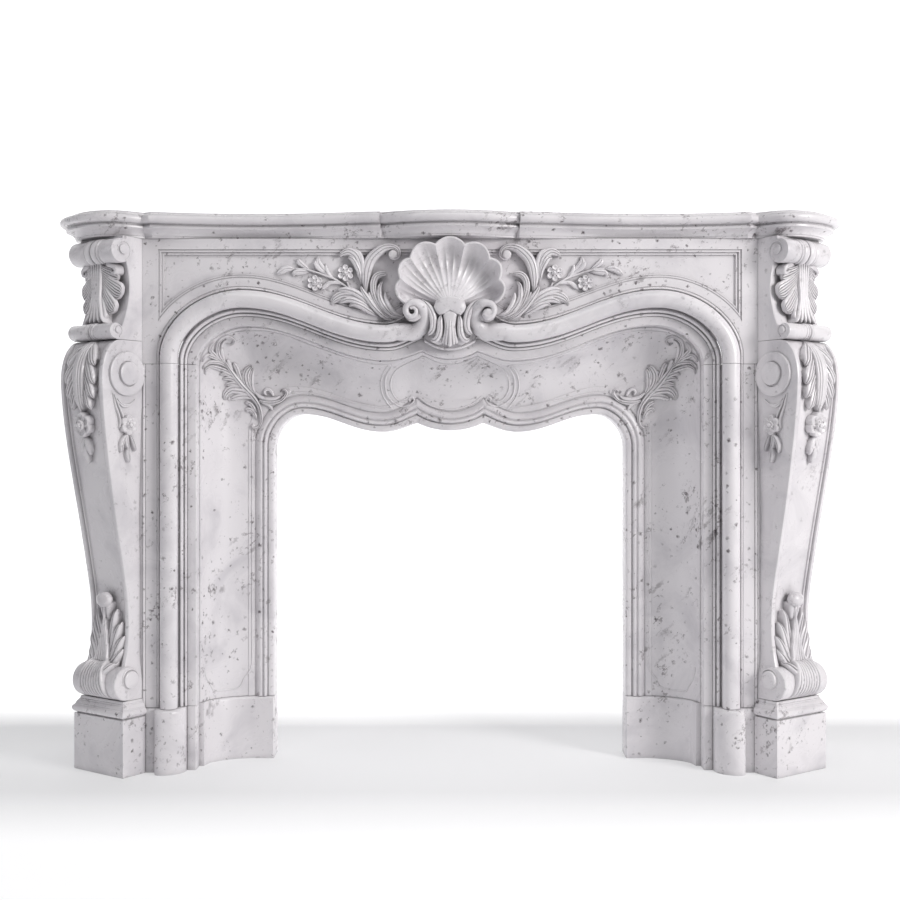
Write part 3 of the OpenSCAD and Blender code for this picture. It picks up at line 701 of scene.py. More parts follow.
def ringTree():
    # copies of the incoming item round a ring about -Y, each turned with it, with a seeded small unevenness
    tree = nodeGroup("ringOfPetals")
    namedInput(tree, "Count", "NodeSocketInt", 6)
    namedInput(tree, "Radius", "NodeSocketFloat", 0.01)
    namedInput(tree, "Start", "NodeSocketFloat", 0.0)
    namedInput(tree, "Uneven", "NodeSocketFloat", 0.05)
    namedInput(tree, "Seed", "NodeSocketInt", 3)
    namedInput(tree, "Stone", "NodeSocketMaterial", None)
    source = addNode(tree, "NodeGroupInput")
    points = addNode(tree, "GeometryNodePoints", links={"Count": (source, "Count")})
    index = addNode(tree, "GeometryNodeInputIndex")
    share = addNode(tree, "ShaderNodeMath", {"operation": "DIVIDE"}, None,
                    {0: (index, "Index"), 1: (source, "Count")})
    angle = addNode(tree, "ShaderNodeMath", {"operation": "MULTIPLY_ADD"}, {1: 2 * math.pi},
                    {0: (share, "Value"), 2: (source, "Start")})
    cosine = addNode(tree, "ShaderNodeMath", {"operation": "COSINE"}, None, {0: (angle, "Value")})
    sine = addNode(tree, "ShaderNodeMath", {"operation": "SINE"}, None, {0: (angle, "Value")})
    away = addNode(tree, "ShaderNodeCombineXYZ", links={"X": (cosine, "Value"), "Z": (sine, "Value")})
    spot = addNode(tree, "ShaderNodeVectorMath", {"operation": "SCALE"}, None,
                   {"Vector": (away, "Vector"), "Scale": (source, "Radius")})
    ring = addNode(tree, "GeometryNodeSetPosition", links={"Geometry": (points, "Points"),
                   "Position": (spot, "Vector")})
    back = addNode(tree, "ShaderNodeMath", {"operation": "MULTIPLY"}, {1: -1.0}, {0: (angle, "Value")})
    turn = addNode(tree, "ShaderNodeCombineXYZ", links={"Y": (back, "Value")})
    low = addNode(tree, "ShaderNodeMath", {"operation": "SUBTRACT"}, {0: 1.0}, {1: (source, "Uneven")})
    high = addNode(tree, "ShaderNodeMath", {"operation": "ADD"}, {0: 1.0}, {1: (source, "Uneven")})
    size = addNode(tree, "FunctionNodeRandomValue", {"data_type": "FLOAT"}, None,
                   {2: (low, "Value"), 3: (high, "Value"), "Seed": (source, "Seed")})
    copies = addNode(tree, "GeometryNodeInstanceOnPoints", links={"Points": (ring, "Geometry"),
                     "Instance": (source, "Geometry"), "Rotation": (turn, "Vector"), "Scale": (size, 1)})
    real = addNode(tree, "GeometryNodeRealizeInstances", links={"Geometry": (copies, "Instances")})
    painted = addNode(tree, "GeometryNodeSetMaterial", links={"Geometry": (real, "Geometry"),
                      "Material": (source, "Stone")})
    addNode(tree, "NodeGroupOutput", links={"Geometry": (painted, "Geometry")})
    return tree


def lineTree():
    # sweeps a half-sunk round bead along the incoming line
    tree = nodeGroup("filletLine")
    namedInput(tree, "Radius", "NodeSocketFloat", 0.001)
    namedInput(tree, "Stone", "NodeSocketMaterial", None)
    source = addNode(tree, "NodeGroupInput")
    line = addNode(tree, "GeometryNodeMeshToCurve", links={"Mesh": (source, "Geometry")})
    circle = addNode(tree, "GeometryNodeCurvePrimitiveCircle", {"mode": "RADIUS"}, {"Resolution": 8},
                     {"Radius": (source, "Radius")})
    tube = addNode(tree, "GeometryNodeCurveToMesh", inputs={"Fill Caps": True},
                   links={"Curve": (line, "Curve"), "Profile Curve": (circle, "Curve")})
    painted = addNode(tree, "GeometryNodeSetMaterial", links={"Geometry": (tube, "Mesh"),
                      "Material": (source, "Stone")})
    addNode(tree, "NodeGroupOutput", links={"Geometry": (painted, "Geometry")})
    return tree


def grow(shape, tree, values):
    # runs a node tree on a shape and gives the grown shape back, in millimetres
    mesh = bpy.data.meshes.new("seedShape")
    points, faces = shape
    edges = [] if faces else [(i, i + 1) for i in range(len(points) - 1)]
    mesh.from_pydata((np.asarray(points, float) * mm).tolist(), edges, faces)
    seed = bpy.data.objects.new("seedShape", mesh)
    bpy.context.scene.collection.objects.link(seed)
    modifier = seed.modifiers.new("grow", "NODES")
    modifier.node_group = tree
    for item in tree.interface.items_tree:
        if item.item_type == "SOCKET" and item.in_out == "INPUT" and item.name in values:
            modifier[item.identifier] = values[item.name]
    graph = bpy.context.evaluated_depsgraph_get()
    result = bpy.data.meshes.new_from_object(seed.evaluated_get(graph))
    seed.modifiers.remove(modifier)
    points = np.zeros(len(result.vertices) * 3)
    result.vertices.foreach_get("co", points)
    faces = [tuple(face.vertices) for face in result.polygons]
    bpy.data.objects.remove(seed)
    bpy.data.meshes.remove(mesh)
    bpy.data.meshes.remove(result)
    return points.reshape(-1, 3) / mm, faces


petalRing = ringTree()
filletLine = lineTree()


def fillet(points, radius=1.3, n=60):
    return grow((spline(points, n), []), filletLine, {"Radius": radius * mm, "Stone": stone})


def petals(item, count, radius, start=0.0, uneven=0.05, seed=3):
    return grow(item, petalRing, {"Count": count, "Radius": radius * mm, "Start": start, "Uneven": uneven,
                                  "Seed": seed, "Stone": stone})


def rosette(size, count=6, seed=3, button=0.3, stamens=6, high=1.0, full=1.0):
    # a flower about the origin that faces -Y: round cupped petals, a ringed button and beads round it
    r = size * min(0.40, 2.05 / count) * full
    cup = turned((0, -2.0 * high, 0), [(r, 8), (r, -0.6 * high), (r * 0.93, -2.3 * high),
                                       (r * 0.78, -3.0 * high), (r * 0.5, -2.2 * high), (0.05, -1.4 * high)],
                 (0, 1, 0), (1, 0, 0), 18)
    parts = [petals(cup, count, size - r, math.pi / 2, 0.05, seed)]
    parts.append(turned((0, 0, 0), [(size * button * 1.25, 6), (size * button * 1.25, -5 * high),
                                    (size * button * 1.05, -6.6 * high), (size * button * 0.7, -6.2 * high),
                                    (size * button * 0.5, -8.2 * high), (0.05, -9.0 * high)],
                        (0, 1, 0), (1, 0, 0), 20))
    if stamens:
        bead = ball((0, -6.4 * high, 0), [size * 0.085] * 3, 6, 8)
        parts.append(petals(bead, stamens, size * button * 1.0, 0.3, 0.1, seed + 4))
    return joined(*parts)


def shifted(shape, x, y, z):
    return shape[0] + (x, y, z), shape[1]


carveY = faceY + arch["panelSink"]

foliage = {
    # the leaf beside the shell: (x, z) points, widths along them, parts across, how far it stands, bluntness
    "leaves": [
        ([(167, 952), (167, 963), (167, 984), (164, 1003), (157, 1019), (146, 1031), (133, 1040), (118, 1043),
          (106, 1039), (102, 1031), (104, 1024), (112, 1021), (117, 1027)],
         [13, 16, 18, 20, 22, 21, 20, 18, 15, 12, 10, 8, 7], 3, 13, 0.05),
        ([(177, 971), (177, 990), (180, 1009), (188, 1026), (201, 1034), (214, 1030), (219, 1024)],
         [7, 12, 16, 18, 18, 14, 9], 3, 10, 0.2),
        ([(174, 971), (173, 993), (174, 1014), (181, 1031), (191.5, 1039)], [6, 9, 10, 10, 7], 1, 9, 0.2),
        ([(178, 976), (181, 995), (188, 1011), (195, 1020), (202.5, 1021.6)], [6, 10, 12, 12, 8], 2,
         11, 0.25),
        ([(129, 905), (146, 922), (157, 940), (161, 954)], [7, 9, 10, 9], 1, 8, 0.25),
        ([(133, 903), (152, 918), (171, 933), (190, 944), (210, 947), (227.5, 940), (236, 928)],
         [8, 13, 18, 22, 24, 20, 9], 4, 9, 0.16),
        ([(148, 918), (167, 937), (186, 950), (205, 957), (223, 957)], [7, 12, 16, 17, 11], 2, 11, 0.25),
        ([(152, 914), (174, 929), (197, 938), (212, 935), (219.5, 932)], [7, 12, 14, 12, 8], 2, 13, 0.25),
        ([(142, 905), (161, 916), (178, 926), (191.5, 930), (200, 926)], [7, 10, 12, 13, 11], 2, 12, 0.35),
        ([(110, 896), (130, 904), (150, 922), (163, 940), (172.5, 954), (177, 965)],
         [6, 8, 10, 11, 12, 10], 2, 12, 0.3),
        ([(93, 902), (112, 905), (131, 916), (144, 935), (151, 954), (152, 971), (147, 984),
          (137, 990), (124, 990)],
         [8, 12, 15, 16, 15, 14, 14, 13, 11], 3, 10, 0.16),
        ([(93, 904), (114, 908), (129, 922), (138.5, 940), (140, 958), (137.5, 969), (132, 974)],
         [7, 10, 12, 12, 11, 10, 9], 2, 13, 0.3),
        ([(95, 906), (110, 912), (121, 925), (128, 940), (129, 952)], [6, 8, 9, 10, 9.5], 1, 12, 0.38)],
    "sprig": [
        ([(193, 956), (199, 959.5), (212, 969), (233, 982), (250, 988), (269, 994.5),
          (290, 1000), (309, 1001)],
         [5, 5, 5, 4.6, 4.4, 4.2, 4, 3.8], 1, 3, 0.1),
        ([(212, 969), (224, 973), (239, 973), (248, 967), (256, 959.5)], [4, 7, 8, 9, 8], 1, 3, 0.25),
        ([(198, 959.5), (202, 967), (205, 974.6)], [4, 4, 4], 1, 3, 0.2),
        ([(309, 1000), (324, 1001), (337, 995), (344, 989)], [5, 12, 13, 7], 2, 4, 0.2),
        ([(280.5, 994.5), (297.5, 994.5), (309, 992.6), (311, 986)], [4, 11, 13, 7], 2, 4, 0.2),
        ([(280.5, 999), (292, 1007), (300, 1014), (302, 1021)], [5, 8, 11, 10], 2, 4, 0.3),
        ([(231, 980), (244.5, 992), (258, 1005), (263, 1016), (261.5, 1025)], [5, 10, 14, 13, 7], 2, 4, 0.2),
        ([(244.5, 990), (261.5, 1001), (268, 1011), (267, 1016)], [4, 8, 9, 6], 1, 6, 0.3),
        ([(235, 982), (242.6, 992), (246, 1001), (247, 1009)], [4, 7, 7, 4], 1, 5, 0.3)],
    "flowers": [(208, 992, 16.7, 6, 3), (268.7, 972, 16, 6, 5)],
}


def standing(points, out, low=2.0, tip=0.6):
    # gives drawn points a rise off the face that swells along the strand and eases at its tip
    last = len(points) - 1
    return [(p[0], p[1], low + (out - low) * (math.sin(math.pi * min(1, 0.12 + i / last * 0.9)) * (1 - tip)
             + tip * min(1, 2.2 * i / last))) for i, p in enumerate(points)]


def makeFoliage():
    parts = []
    for points, widths, flutes, out, blunt in foliage["leaves"]:
        parts.append(blade(onFace(standing(points, out), carveY), widths, 7.5, flutes, sink=16,
                           n=5 * len(points) + 4, m=12, blunt=blunt))
    for points, widths, flutes, out, blunt in foliage["sprig"]:
        parts.append(blade(onFace(standing(points, out, 1), carveY), widths, 3.4, flutes, sink=7,
                           n=5 * len(points) + 2, m=10, blunt=blunt, deep=0.45))
    eye = turned((113, carveY - 15, 1027.4), [(8.6, 20), (8.6, -3), (7.4, -5.4), (4.5, -6.4), (0.05, -6.8)],
                 (0, 1, 0), (1, 0, 0), 24)
    parts.append(eye)
    for x, z, size, count, seed in foliage["flowers"]:
        parts.append(shifted(rosette(size, count, seed=seed, high=1.25), x, carveY - 3, z))
    return joined(*parts)


shell = {
    "hinge": 917.5, "rim": 2.6,
    "notch": (8, 30.5, 51.5, 77, 103, 128.5, 149.5, 172),
    # outline radius at the notches and how far the rim of each lobe swells past it
    "edge": (90, 111, 123, 126, 126, 123, 111, 90), "swell": (12, 12, 13.5, 12.6, 13.5, 12, 12),
    # share of the radius and how far the scoop stands off the face there
    "bowl": [(0.10, 46), (0.2, 42), (0.30, 33), (0.42, 24), (0.55, 18), (0.68, 16), (0.78, 18.5), (0.86, 25),
             (0.92, 34), (0.96, 42), (0.985, 47), (1.0, 49)],
    "channels": (0, 0.34, 0.66, 1),
    "pad": [(0, 912), (5, 909.6), (12, 906), (21, 904), (28, 911), (32, 920), (28.5, 931),
            (17, 938), (6, 940.4)],
}


def makeShell():
    notch, edge = np.array(shell["notch"], float), np.array(shell["edge"], float)
    knots = shell["channels"]
    rays = []
    for k in range(len(notch) - 1):
        for c in range(len(knots) - 1):
            rays += [(k, mix(knots[c], knots[c + 1], u), u, knots[c + 1] - knots[c])
                     for u in (0, 0.1, 0.24, 0.4, 0.6, 0.76, 0.9)]
    rays.append((len(notch) - 2, 1.0, 1.0, 0.34))
    rings, lip = [], []
    for k, f, u, wide in rays:
        degrees = mix(notch[k], notch[k + 1], f)
        a = math.radians(degrees)
        hump = math.sin(math.pi * f)
        radius = mix(edge[k], edge[k + 1], f) + shell["swell"][k] * hump ** 0.85
        corner = 0.62 + 0.38 * smooth((min(degrees, 180 - degrees) - 8) / 26)
        ring = []
        for share, proud in shell["bowl"]:
            # each lobe is three hollow channels between ridges, the ridge at a notch the strongest
            across = radius * share * math.radians(notch[k + 1] - notch[k]) * wide
            hollow = 0.17 * across * math.sin(math.pi * u) * smooth((share - 0.1) / 0.25)
            hollow *= 1 - 0.8 * smooth((share - 0.9) / 0.1)
            ridge = 2.4 * abs(math.cos(math.pi * f)) ** 6 * smooth(share / 0.4)
            ridge *= 1 - smooth((share - 0.9) / 0.1)
            ring.append((radius * share * math.cos(a), carveY - (proud - hollow + ridge) * corner,
                         shell["hinge"] + radius * share * math.sin(a)))
        lip.append((ring[-1][0], ring[-1][1] + 0.6, ring[-1][2]))
        for share, proud in ((1.004, 30), (0.98, 14), (0.96, -4)):
            r = radius * share
            ring.append((r * math.cos(a), carveY - proud * corner, shell["hinge"] + r * math.sin(a)))
        r = radius * 0.10
        ring.append((r * math.cos(a), carveY + 4, shell["hinge"] + r * math.sin(a)))
        rings.append(ring)
    parts = [loft(rings), fillet(lip, shell["rim"], 420)]
    # the smooth pad at the hinge
    right = shell["pad"]
    outline = right + [(-x, z) for x, z in right[:0:-1]]
    parts.append(cushion(outline, [(1.0, carveY - 8), (1.0, carveY - 44), (0.97, carveY - 47.5),
                                   (0.88, carveY - 50), (0.6, carveY - 52), (0.02, carveY - 52.8)]))
    # under it a stem that spreads in five fingers, a column each side, and a petal round each column
    heart = [(0, 914), (18, 912), (34, 908), (38, 890), (36, 872), (28, 862), (12, 858)]
    outline = heart + [(-x, z) for x, z in heart[:0:-1]]
    parts.append(cushion(outline, [(1.0, faceY + 16), (1.0, carveY - 30), (0.9, carveY - 33),
                                   (0.02, carveY - 34)]))
    stem = [([(0, 915, 38), (0, 907, 45), (0, 893, 45), (0, 876, 43)], [26, 27, 23, 19], 1),
            ([(0, 895, 46), (0, 880, 47), (0, 864, 45), (0, 843, 37)], [7, 7, 7.4, 9], 1)]
    spread = [([(4, 896, 45), (4.6, 880, 46), (5.6, 866, 43), (7.6, 847, 35)], [5, 6, 6.4, 7.4], 1),
              ([(8, 898, 43), (8, 882, 43), (9.4, 868, 40), (13, 850, 32)], [5, 5.4, 6, 7.4], 1),
              ([(17, 907, 40), (19.5, 893, 43), (19.8, 877, 42), (22.5, 864, 39), (30, 856, 33),
                (38, 858, 28)],
               [8, 10.5, 12, 13, 11, 8], 2),
              ([(54, 934, 36), (46, 926, 40), (37, 912, 41), (32.5, 895, 40), (34, 877, 37), (43, 866, 32)],
               [7, 12, 15, 15, 13, 8], 2)]
    for points, widths, flutes in stem:
        parts.append(blade(onFace(points, carveY), widths, 5.5, flutes, sink=34, n=24, m=14,
                           blunt=0.12, root=0.7))
    for points, widths, flutes in spread:
        parts.append(both(blade(onFace(points, carveY), widths, 5.5, flutes, sink=34, n=28, m=12, blunt=0.14,
                                deep=0.4)))
    return joined(*parts)


apron = {
    "cuspHalf": 52, "topHalf": 54, "topZ": 925,
    "section": [(14.6, 20), (14.6, 4.5), (15.4, 2.6), (17.0, 1.6), (19.0, 2.4), (20.4, 4)],
}


def makeApron():
    # the plate that carries the pendants, from one cusp of the arch to the other
    rings = []
    for d, back in apron["section"]:
        line = archLine(grown(d), 40, jointZ)
        line = line[np.abs(line[:, 0]) <= apron["cuspHalf"]]
        y = faceY + back
        rings.append([(x, y, z) for x, z in evenly(line, 60)]
                     + [(-apron["topHalf"], y, apron["topZ"]), (apron["topHalf"], y, apron["topZ"])])
    return loft(rings)


def makeFrieze():
    start = jointZ + arch["joint"]
    beads = loft(archRings(beadSection, 40, start))
    outer = loft(archRings(outerSection, 40, start))
    ground = joined(makeFriezeSlab(), beads, outer, makeApron())
    carving = [makeShell(), both(makeFoliage()), makeRoll("closed"), mirrored(makeRoll("open"))]
    finishPiece("frieze", joined(ground, *carving), ["frieze"], plain=len(ground[1]))


makeFrieze()
print("frieze made")


def extruded(section, z0, z1):
    return loft([[(x, y, z) for x, y in section] for z in (z0, z1)])


def rollSection(half, crest, base, n=18):
    a = np.radians(np.linspace(-20, 200, n + 1))
    return [(halfArris + rollMid - half * math.cos(t),
             base - (base - crest) * (0.26 + 0.74 * max(math.sin(t), -0.35))) for t in a]


def makeJamb():
    gap = arch["joint"]
    z0, z1 = footH + gap, jointZ - gap
    inner = [(halfArris + d, y) for d, y in beadSection]
    roll = rollSection(rollHalf, faceY - arch["rollRise"], faceY + 2)
    roll = [(roll[0][0], beadY + 6)] + roll + [(roll[-1][0], beadY + 6)]
    outer = [(halfArris + d, y) for d, y in outerSection[:-1]]
    edgeX = halfFrieze - 0.3
    outer += [(edgeX - 7.4, faceY), (edgeX - 6.8, faceY + 1.2), (edgeX - 6, faceY + 1.2),
              (edgeX - 5.2, faceY - 0.6), (edgeX - 3.4, faceY - 1.6), (edgeX - 1.4, faceY - 1.2),
              (edgeX, faceY + 0.8), (edgeX, slabBack)]
    finishPair("Jamb", joined(extruded(inner, z0, z1), extruded(roll, z0, z1), extruded(outer, z0, z1)))


def makeJambFoot():
    # the jamb's plan in plain swelling blocks: strip, roll and pilaster, each softened at the top
    top = footH - arch["joint"]
    strip = [(halfArris, slabBack), (halfArris, stripY - 1.4), (halfArris + 1.2, stripY - 3),
             (halfArris + 14.6, stripY - 3.2), (halfArris + 17.2, stripY - 2.2),
             (halfArris + 17.6, stripY + 1), (halfArris + 20, stripY + 1), (halfArris + 20, slabBack)]
    a = np.radians(np.linspace(0, 180, 21))
    low, high = faceY + 11, faceY - 10
    swell = [(halfArris + 47 - 29 * math.cos(t), mix(low, high, (1 - math.cos(t)) / 2)
              - 28 * math.sin(t) ** 0.8) for t in a]
    swell = [(halfArris + 18, slabBack)] + swell + [(halfArris + 76, slabBack)]
    flank = [(halfArris + 74, slabBack), (halfArris + 74, faceY - 2.4), (halfArris + 75.4, faceY - 4),
             (halfFrieze - 8.6, faceY - 4), (halfFrieze - 7.2, faceY - 2.6), (halfFrieze - 7.2, slabBack)]
    parts = []
    for section in (strip, swell, flank):
        p = np.array(section)
        c = np.array([p[:, 0].mean(), slabBack])
        rings = []
        for z, s in ((0, 1.0), (top - 9, 1.0), (top - 5, 0.985), (top - 2, 0.955), (top, 0.90)):
            q = c + (p - c) * (mix(1, s, 0.6), s)
            q[:, 0] = np.clip(q[:, 0], halfArris, halfFrieze)
            rings.append(np.c_[q, np.full(len(q), z)])
        parts.append(loft(rings))
    finishPair("JambFoot", joined(*parts), 38)


makeJamb()
makeJambFoot()
print("jambs and feet made")


slip = {
    "power": 2.45, "edge": 0.985, "reach": 1.23, "backW": 0.6, "backStep": 54, "softReach": 62,
    "softPasses": 420,
    "footProud": 8,
    # the frame moulding beside the opening, as distance from the edge and height above the cove
    "frame": [(0, -1.5), (1.2, 1.6), (3.5, 3.4), (8, 4.4), (11.6, 3.8), (13.2, 1.6), (14.2, 1.6), (15, 5.6),
              (16.6, 8.4), (18.8, 9.2), (20.8, 8.2), (22.2, 5.4), (23.4, 4.6), (24.6, 5.8),
              (27.2, 7.8), (29.6, 7.6), (33, 5.2), (36.4, 2.4), (38.2, 0.6), (39.2, -0.9), (40.4, -0.6),
              (41.2, 1.2), (42.6, 1.6)],
    "bandTo": 53, "bandUp": 1.6,
}


def coveY(s):
    power = slip["power"]
    return slipY - (slipY - stripY) * (1 - (1 - np.clip(s, 0, 1) ** power) ** (1 / power))


def slipSection():
    # distance from the opening and depth, from the edge up the cove to the arris and round the back
    rows = [(d, float(coveY(d / coveW)) - up) for d, up in slip["frame"]]
    rows += [(slip["bandTo"], float(coveY(slip["bandTo"] / coveW)) - slip["bandUp"]),
             (slip["bandTo"] + 1.4, float(coveY((slip["bandTo"] + 1.4) / coveW)))]
    for s in np.r_[np.linspace(0.42, 0.86, 10), 0.89, 0.92, 0.945, 0.965]:
        rows.append((s * coveW, float(coveY(s))))
    rows += [(slip["edge"] * coveW, slabBack + 0.2), (slip["reach"] * coveW, slabBack + 0.2),
             (slip["reach"] * coveW, slabBack + slip["backStep"]), (slip["backW"] * coveW, slipBack),
             (0, slipBack)]
    return rows


def slipPoint(i, d, lineAt, outerLine):
    # where a point of the section lies on ring i: square to the opening near it, then spread to the arris
    near = slip["frame"][-1][0]
    if d <= near:
        return lineAt(d)[i]
    return mix(lineAt(near)[i], outerLine[i], (d - near) / (coveW - near))


def eased(line, strength):
    # softens the two cusps of an arch line, the more the further its place is from either edge
    middle = len(line) // 2
    soft = line.copy()
    for turn in range(slip["softPasses"]):
        soft[1:-1] = (soft[:-2] + soft[2:]) / 2
    near = np.clip(1 - np.abs(np.arange(len(line)) - middle) / slip["softReach"], 0, 1)
    share = (strength * smooth(near * 1.6))[:, None]
    return line * (1 - share) + soft * share


def makeLintelShape():
    zLow = slipJointZ
    outer = archLine(arrisKey, 72, zLow)
    lines = {}

    def frameLine(d):
        if d not in lines:
            lines[d] = archLine(openingKey + d * growKey, 72, zLow)
        return lines[d]

    section = slipSection()
    columns = []
    for d, y in section:
        line = np.array([slipPoint(i, d, frameLine, outer) for i in range(len(outer))])
        if d > slip["bandTo"] + 1:
            line = eased(line, min(1, math.sin(math.pi * min(d / coveW, 1)) * 1.5))
        columns.append(np.c_[line[:, 0], np.full(len(line), y), line[:, 1]])
    return loft(np.stack(columns, 1))


spray = {
    # the raised spray in each upper corner of the cove, for the right side: (x, z), widths, height, flutes
    "strands": [
        ([(466, 826), (452, 802), (432, 774), (411, 751), (399, 733), (394, 716), (394, 700),
          (398, 690), (405, 685), (412, 687), (413, 693), (409, 694)],
         [6, 9, 11, 13, 13, 12, 11, 9, 8, 7, 6, 5], 6, 2),
        ([(450, 796), (464, 804), (479, 809), (490, 811), (499, 805), (501, 795)], [6, 9, 10, 9, 7, 6],
         4.4, 2),
        ([(460, 810), (472, 819), (484, 821), (494, 819), (501, 811), (503, 804)], [6, 9, 10, 9, 7, 6],
         4.4, 2),
        ([(470, 820), (479, 828), (488, 832), (494, 834), (501, 827), (503, 819)], [6, 9, 10, 8, 6, 5],
         4.4, 2),
        ([(474, 825), (482, 835), (488, 843), (486, 851), (478, 860)], [6, 10, 10, 8, 5], 4.4, 2),
        ([(466, 820), (475, 836), (475, 850), (470, 862), (459, 870), (449, 871), (443, 867),
          (443, 862), (450, 856), (456, 859)], [8, 11, 11, 10, 9, 8, 7, 6, 5, 4], 4.8, 2),
        ([(465, 823), (468, 839), (468, 852), (463, 861), (456, 866)], [5, 8, 8, 6, 4], 5.2, 1),
        ([(411, 752), (424, 762), (439, 766), (453, 766), (463, 759), (467, 749), (463, 744)],
         [9, 17, 21, 21, 18, 13, 8], 5, 3),
        ([(408, 747), (422, 752), (435, 752), (447, 749), (456, 745)], [8, 13, 14, 12, 8], 4.4, 2),
        ([(437, 784), (450, 792), (463, 798), (475, 796)], [7, 10, 11, 7], 4.4, 2),
        ([(429, 774), (442, 782), (455, 788), (470, 787)], [7, 10, 11, 7], 4.4, 2),
        ([(424, 768), (437, 774), (450, 778), (466, 775)], [7, 11, 11, 7], 4.4, 2),
        ([(404, 719), (410, 729), (416, 736), (426, 740)], [7, 10, 10, 7], 4, 2),
        ([(403, 705), (407, 715), (414, 723), (422, 725), (424, 720)], [6, 9, 10, 9, 7], 4, 2),
        ([(450, 804), (455, 817), (459, 827)], [6, 9, 8], 4, 1),
        ([(432, 781), (438, 798), (443, 813), (448, 821)], [7, 10, 11, 9], 4.4, 2),
        ([(411, 761), (421, 777), (424, 794), (418, 808), (409, 815)], [9, 15, 18, 16, 9], 5, 3),
        ([(405, 755), (412, 770), (413, 786), (411, 799), (407, 809)], [7, 10, 12, 11, 8], 4.4, 2),
        ([(397, 743), (384, 739), (367, 739), (352, 744), (342, 754), (340, 761), (346, 766), (351, 761)],
         [9, 10, 10, 9, 8, 7, 6, 5], 5, 2),
        ([(405, 759), (394, 750), (378, 746), (361, 748), (352, 754)], [7, 9, 9, 8, 5], 5, 1),
        ([(367, 753), (374, 764), (382, 766), (386, 760), (382, 754)], [7, 8, 8, 7, 5], 4.4, 1),
        ([(392, 740), (381, 736), (374, 730), (369, 722)], [6, 8, 7, 4], 4, 1)],
    "beads": [(499, 797, 4.2), (458, 746, 4.0), (451, 745, 3.4), (445, 745, 3.0), (430, 801, 4.2),
              (335, 761, 4.6), (411, 691, 5.0), (421, 722, 4.0)],
    "lines": [
        ([(411, 684), (412, 660), (412, 630)], 1.6),
        ([(329, 759), (313, 761), (282, 757), (244, 748), (194, 738), (156, 730), (120, 726)], 1.6),
        ([(475, 850), (470, 860), (461, 868), (447, 876), (431, 880), (410, 882), (382, 882),
          (355, 878), (328, 871), (305, 862), (262, 846), (222, 832), (190, 822), (156, 815), (127, 813)],
         1.7),
        ([(516, 824), (511, 844), (499, 863), (482, 880), (462, 889), (435, 893), (405, 894),
          (380, 893), (353, 889), (327, 884), (305, 877), (262, 858), (223, 842), (188, 833), (154, 830),
          (121, 832), (86, 838), (53, 846)], 1.5),
        ([(126, 813), (137, 798), (143, 779), (141, 759), (133, 742), (120, 726)], 1.8),
        ([(127, 813), (119, 811), (127, 800), (133, 787), (134, 770), (130, 753), (118, 739),
          (101, 731), (83, 734), (75, 742), (78, 750), (85, 748), (84, 741)], 2.3),
        ([(54, 831), (81, 820), (105, 808), (117, 796), (123, 779), (121, 762), (112, 747), (98, 740),
          (88, 743)], 1.8)],
    "middleLines": [
        ([(-54, 831), (-24, 818), (0, 815), (24, 818), (54, 831)], 1.8),
        ([(-53, 846), (-24, 834), (0, 831), (24, 834), (53, 846)], 1.5),
        ([(-66, 752), (-48, 737), (-25, 728), (0, 724), (25, 728), (48, 737), (66, 752)], 1.8)],
    "panelLines": [
        ([(412, 630), (412, 400), (412, 196)], 1.7),
        ([(412, 196), (417, 180), (428, 166), (434, 152), (443, 145)], 1.6),
        ([(443, 145), (462, 143), (486, 144)], 1.4), ([(486, 144), (492, 160), (498, 176), (500, 196)], 1.4)],
}


def makeSlips():
    lintel = makeLintelShape()
    section = [(halfOpen + d, y) for d, y in slipSection()]
    panel = extruded(section, footH + arch["joint"], slipJointZ)
    whole = joined(lintel, panel, mirrored(panel))
    tree = BVHTree.FromPolygons([tuple(p) for p in whole[0].tolist()], whole[1])

    def drape(points, lift=0.0):
        # sets points drawn in (x, z) on the coved stone, with the way the stone faces there
        spots, ways = [], []
        for p in points:
            hit, way = tree.ray_cast(Vector((p[0], -400, p[1])), Vector((0, 1, 0)))[:2]
            way = way if way.y < 0 else -way
            spots.append(np.array(hit) + np.array(way) * (lift + (p[2] if len(p) > 2 else 0)))
            ways.append(way)
        return np.array(spots), np.array(ways)

    def draped(points, widths, rise=4.0, flutes=1, n=20, m=10, sink=5, **more):
        line = spline([(p[0], p[1]) + ((p[2],) if len(p) > 2 else (0.0,)) for p in points], n)
        spots, ways = drape(line)
        up = ways.mean(0)
        return blade(spots, widths, rise, flutes, sink, up / np.linalg.norm(up), n, m, **more)

    def border(points, radius=1.2, n=60):
        spots, ways = drape(spline(points, n))
        for turn in range(6):
            spots[1:-1] = (spots[:-2] + 2 * spots[1:-1] + spots[2:]) / 4
        return fillet(spots, radius, n)

    carved = []
    for points, widths, rise, flutes in spray["strands"]:
        carved.append(draped(points, widths, rise * 1.35, flutes, 4 * len(points) + 6, blunt=0.2,
                             root=0.7, deep=0.4))
    for x, z, r in spray["beads"]:
        spot, way = drape([(x, z)])
        carved.append(ball(spot[0], (r, r * 0.8, r), 10, 16))
    for points, radius in spray["lines"]:
        carved.append(border(points, radius, 10 * len(points) + 20))
    sideLines = [border(points, radius) for points, radius in spray["panelLines"]]
    middle = [border(points, radius, 60) for points, radius in spray["middleLines"]]
    finishPiece("innerLintel", joined(lintel, both(joined(*carved)), *middle), ["inner_lintel"], 38,
                len(lintel[1]))
    finishPair("InnerPanel", joined(panel, *sideLines), 38)


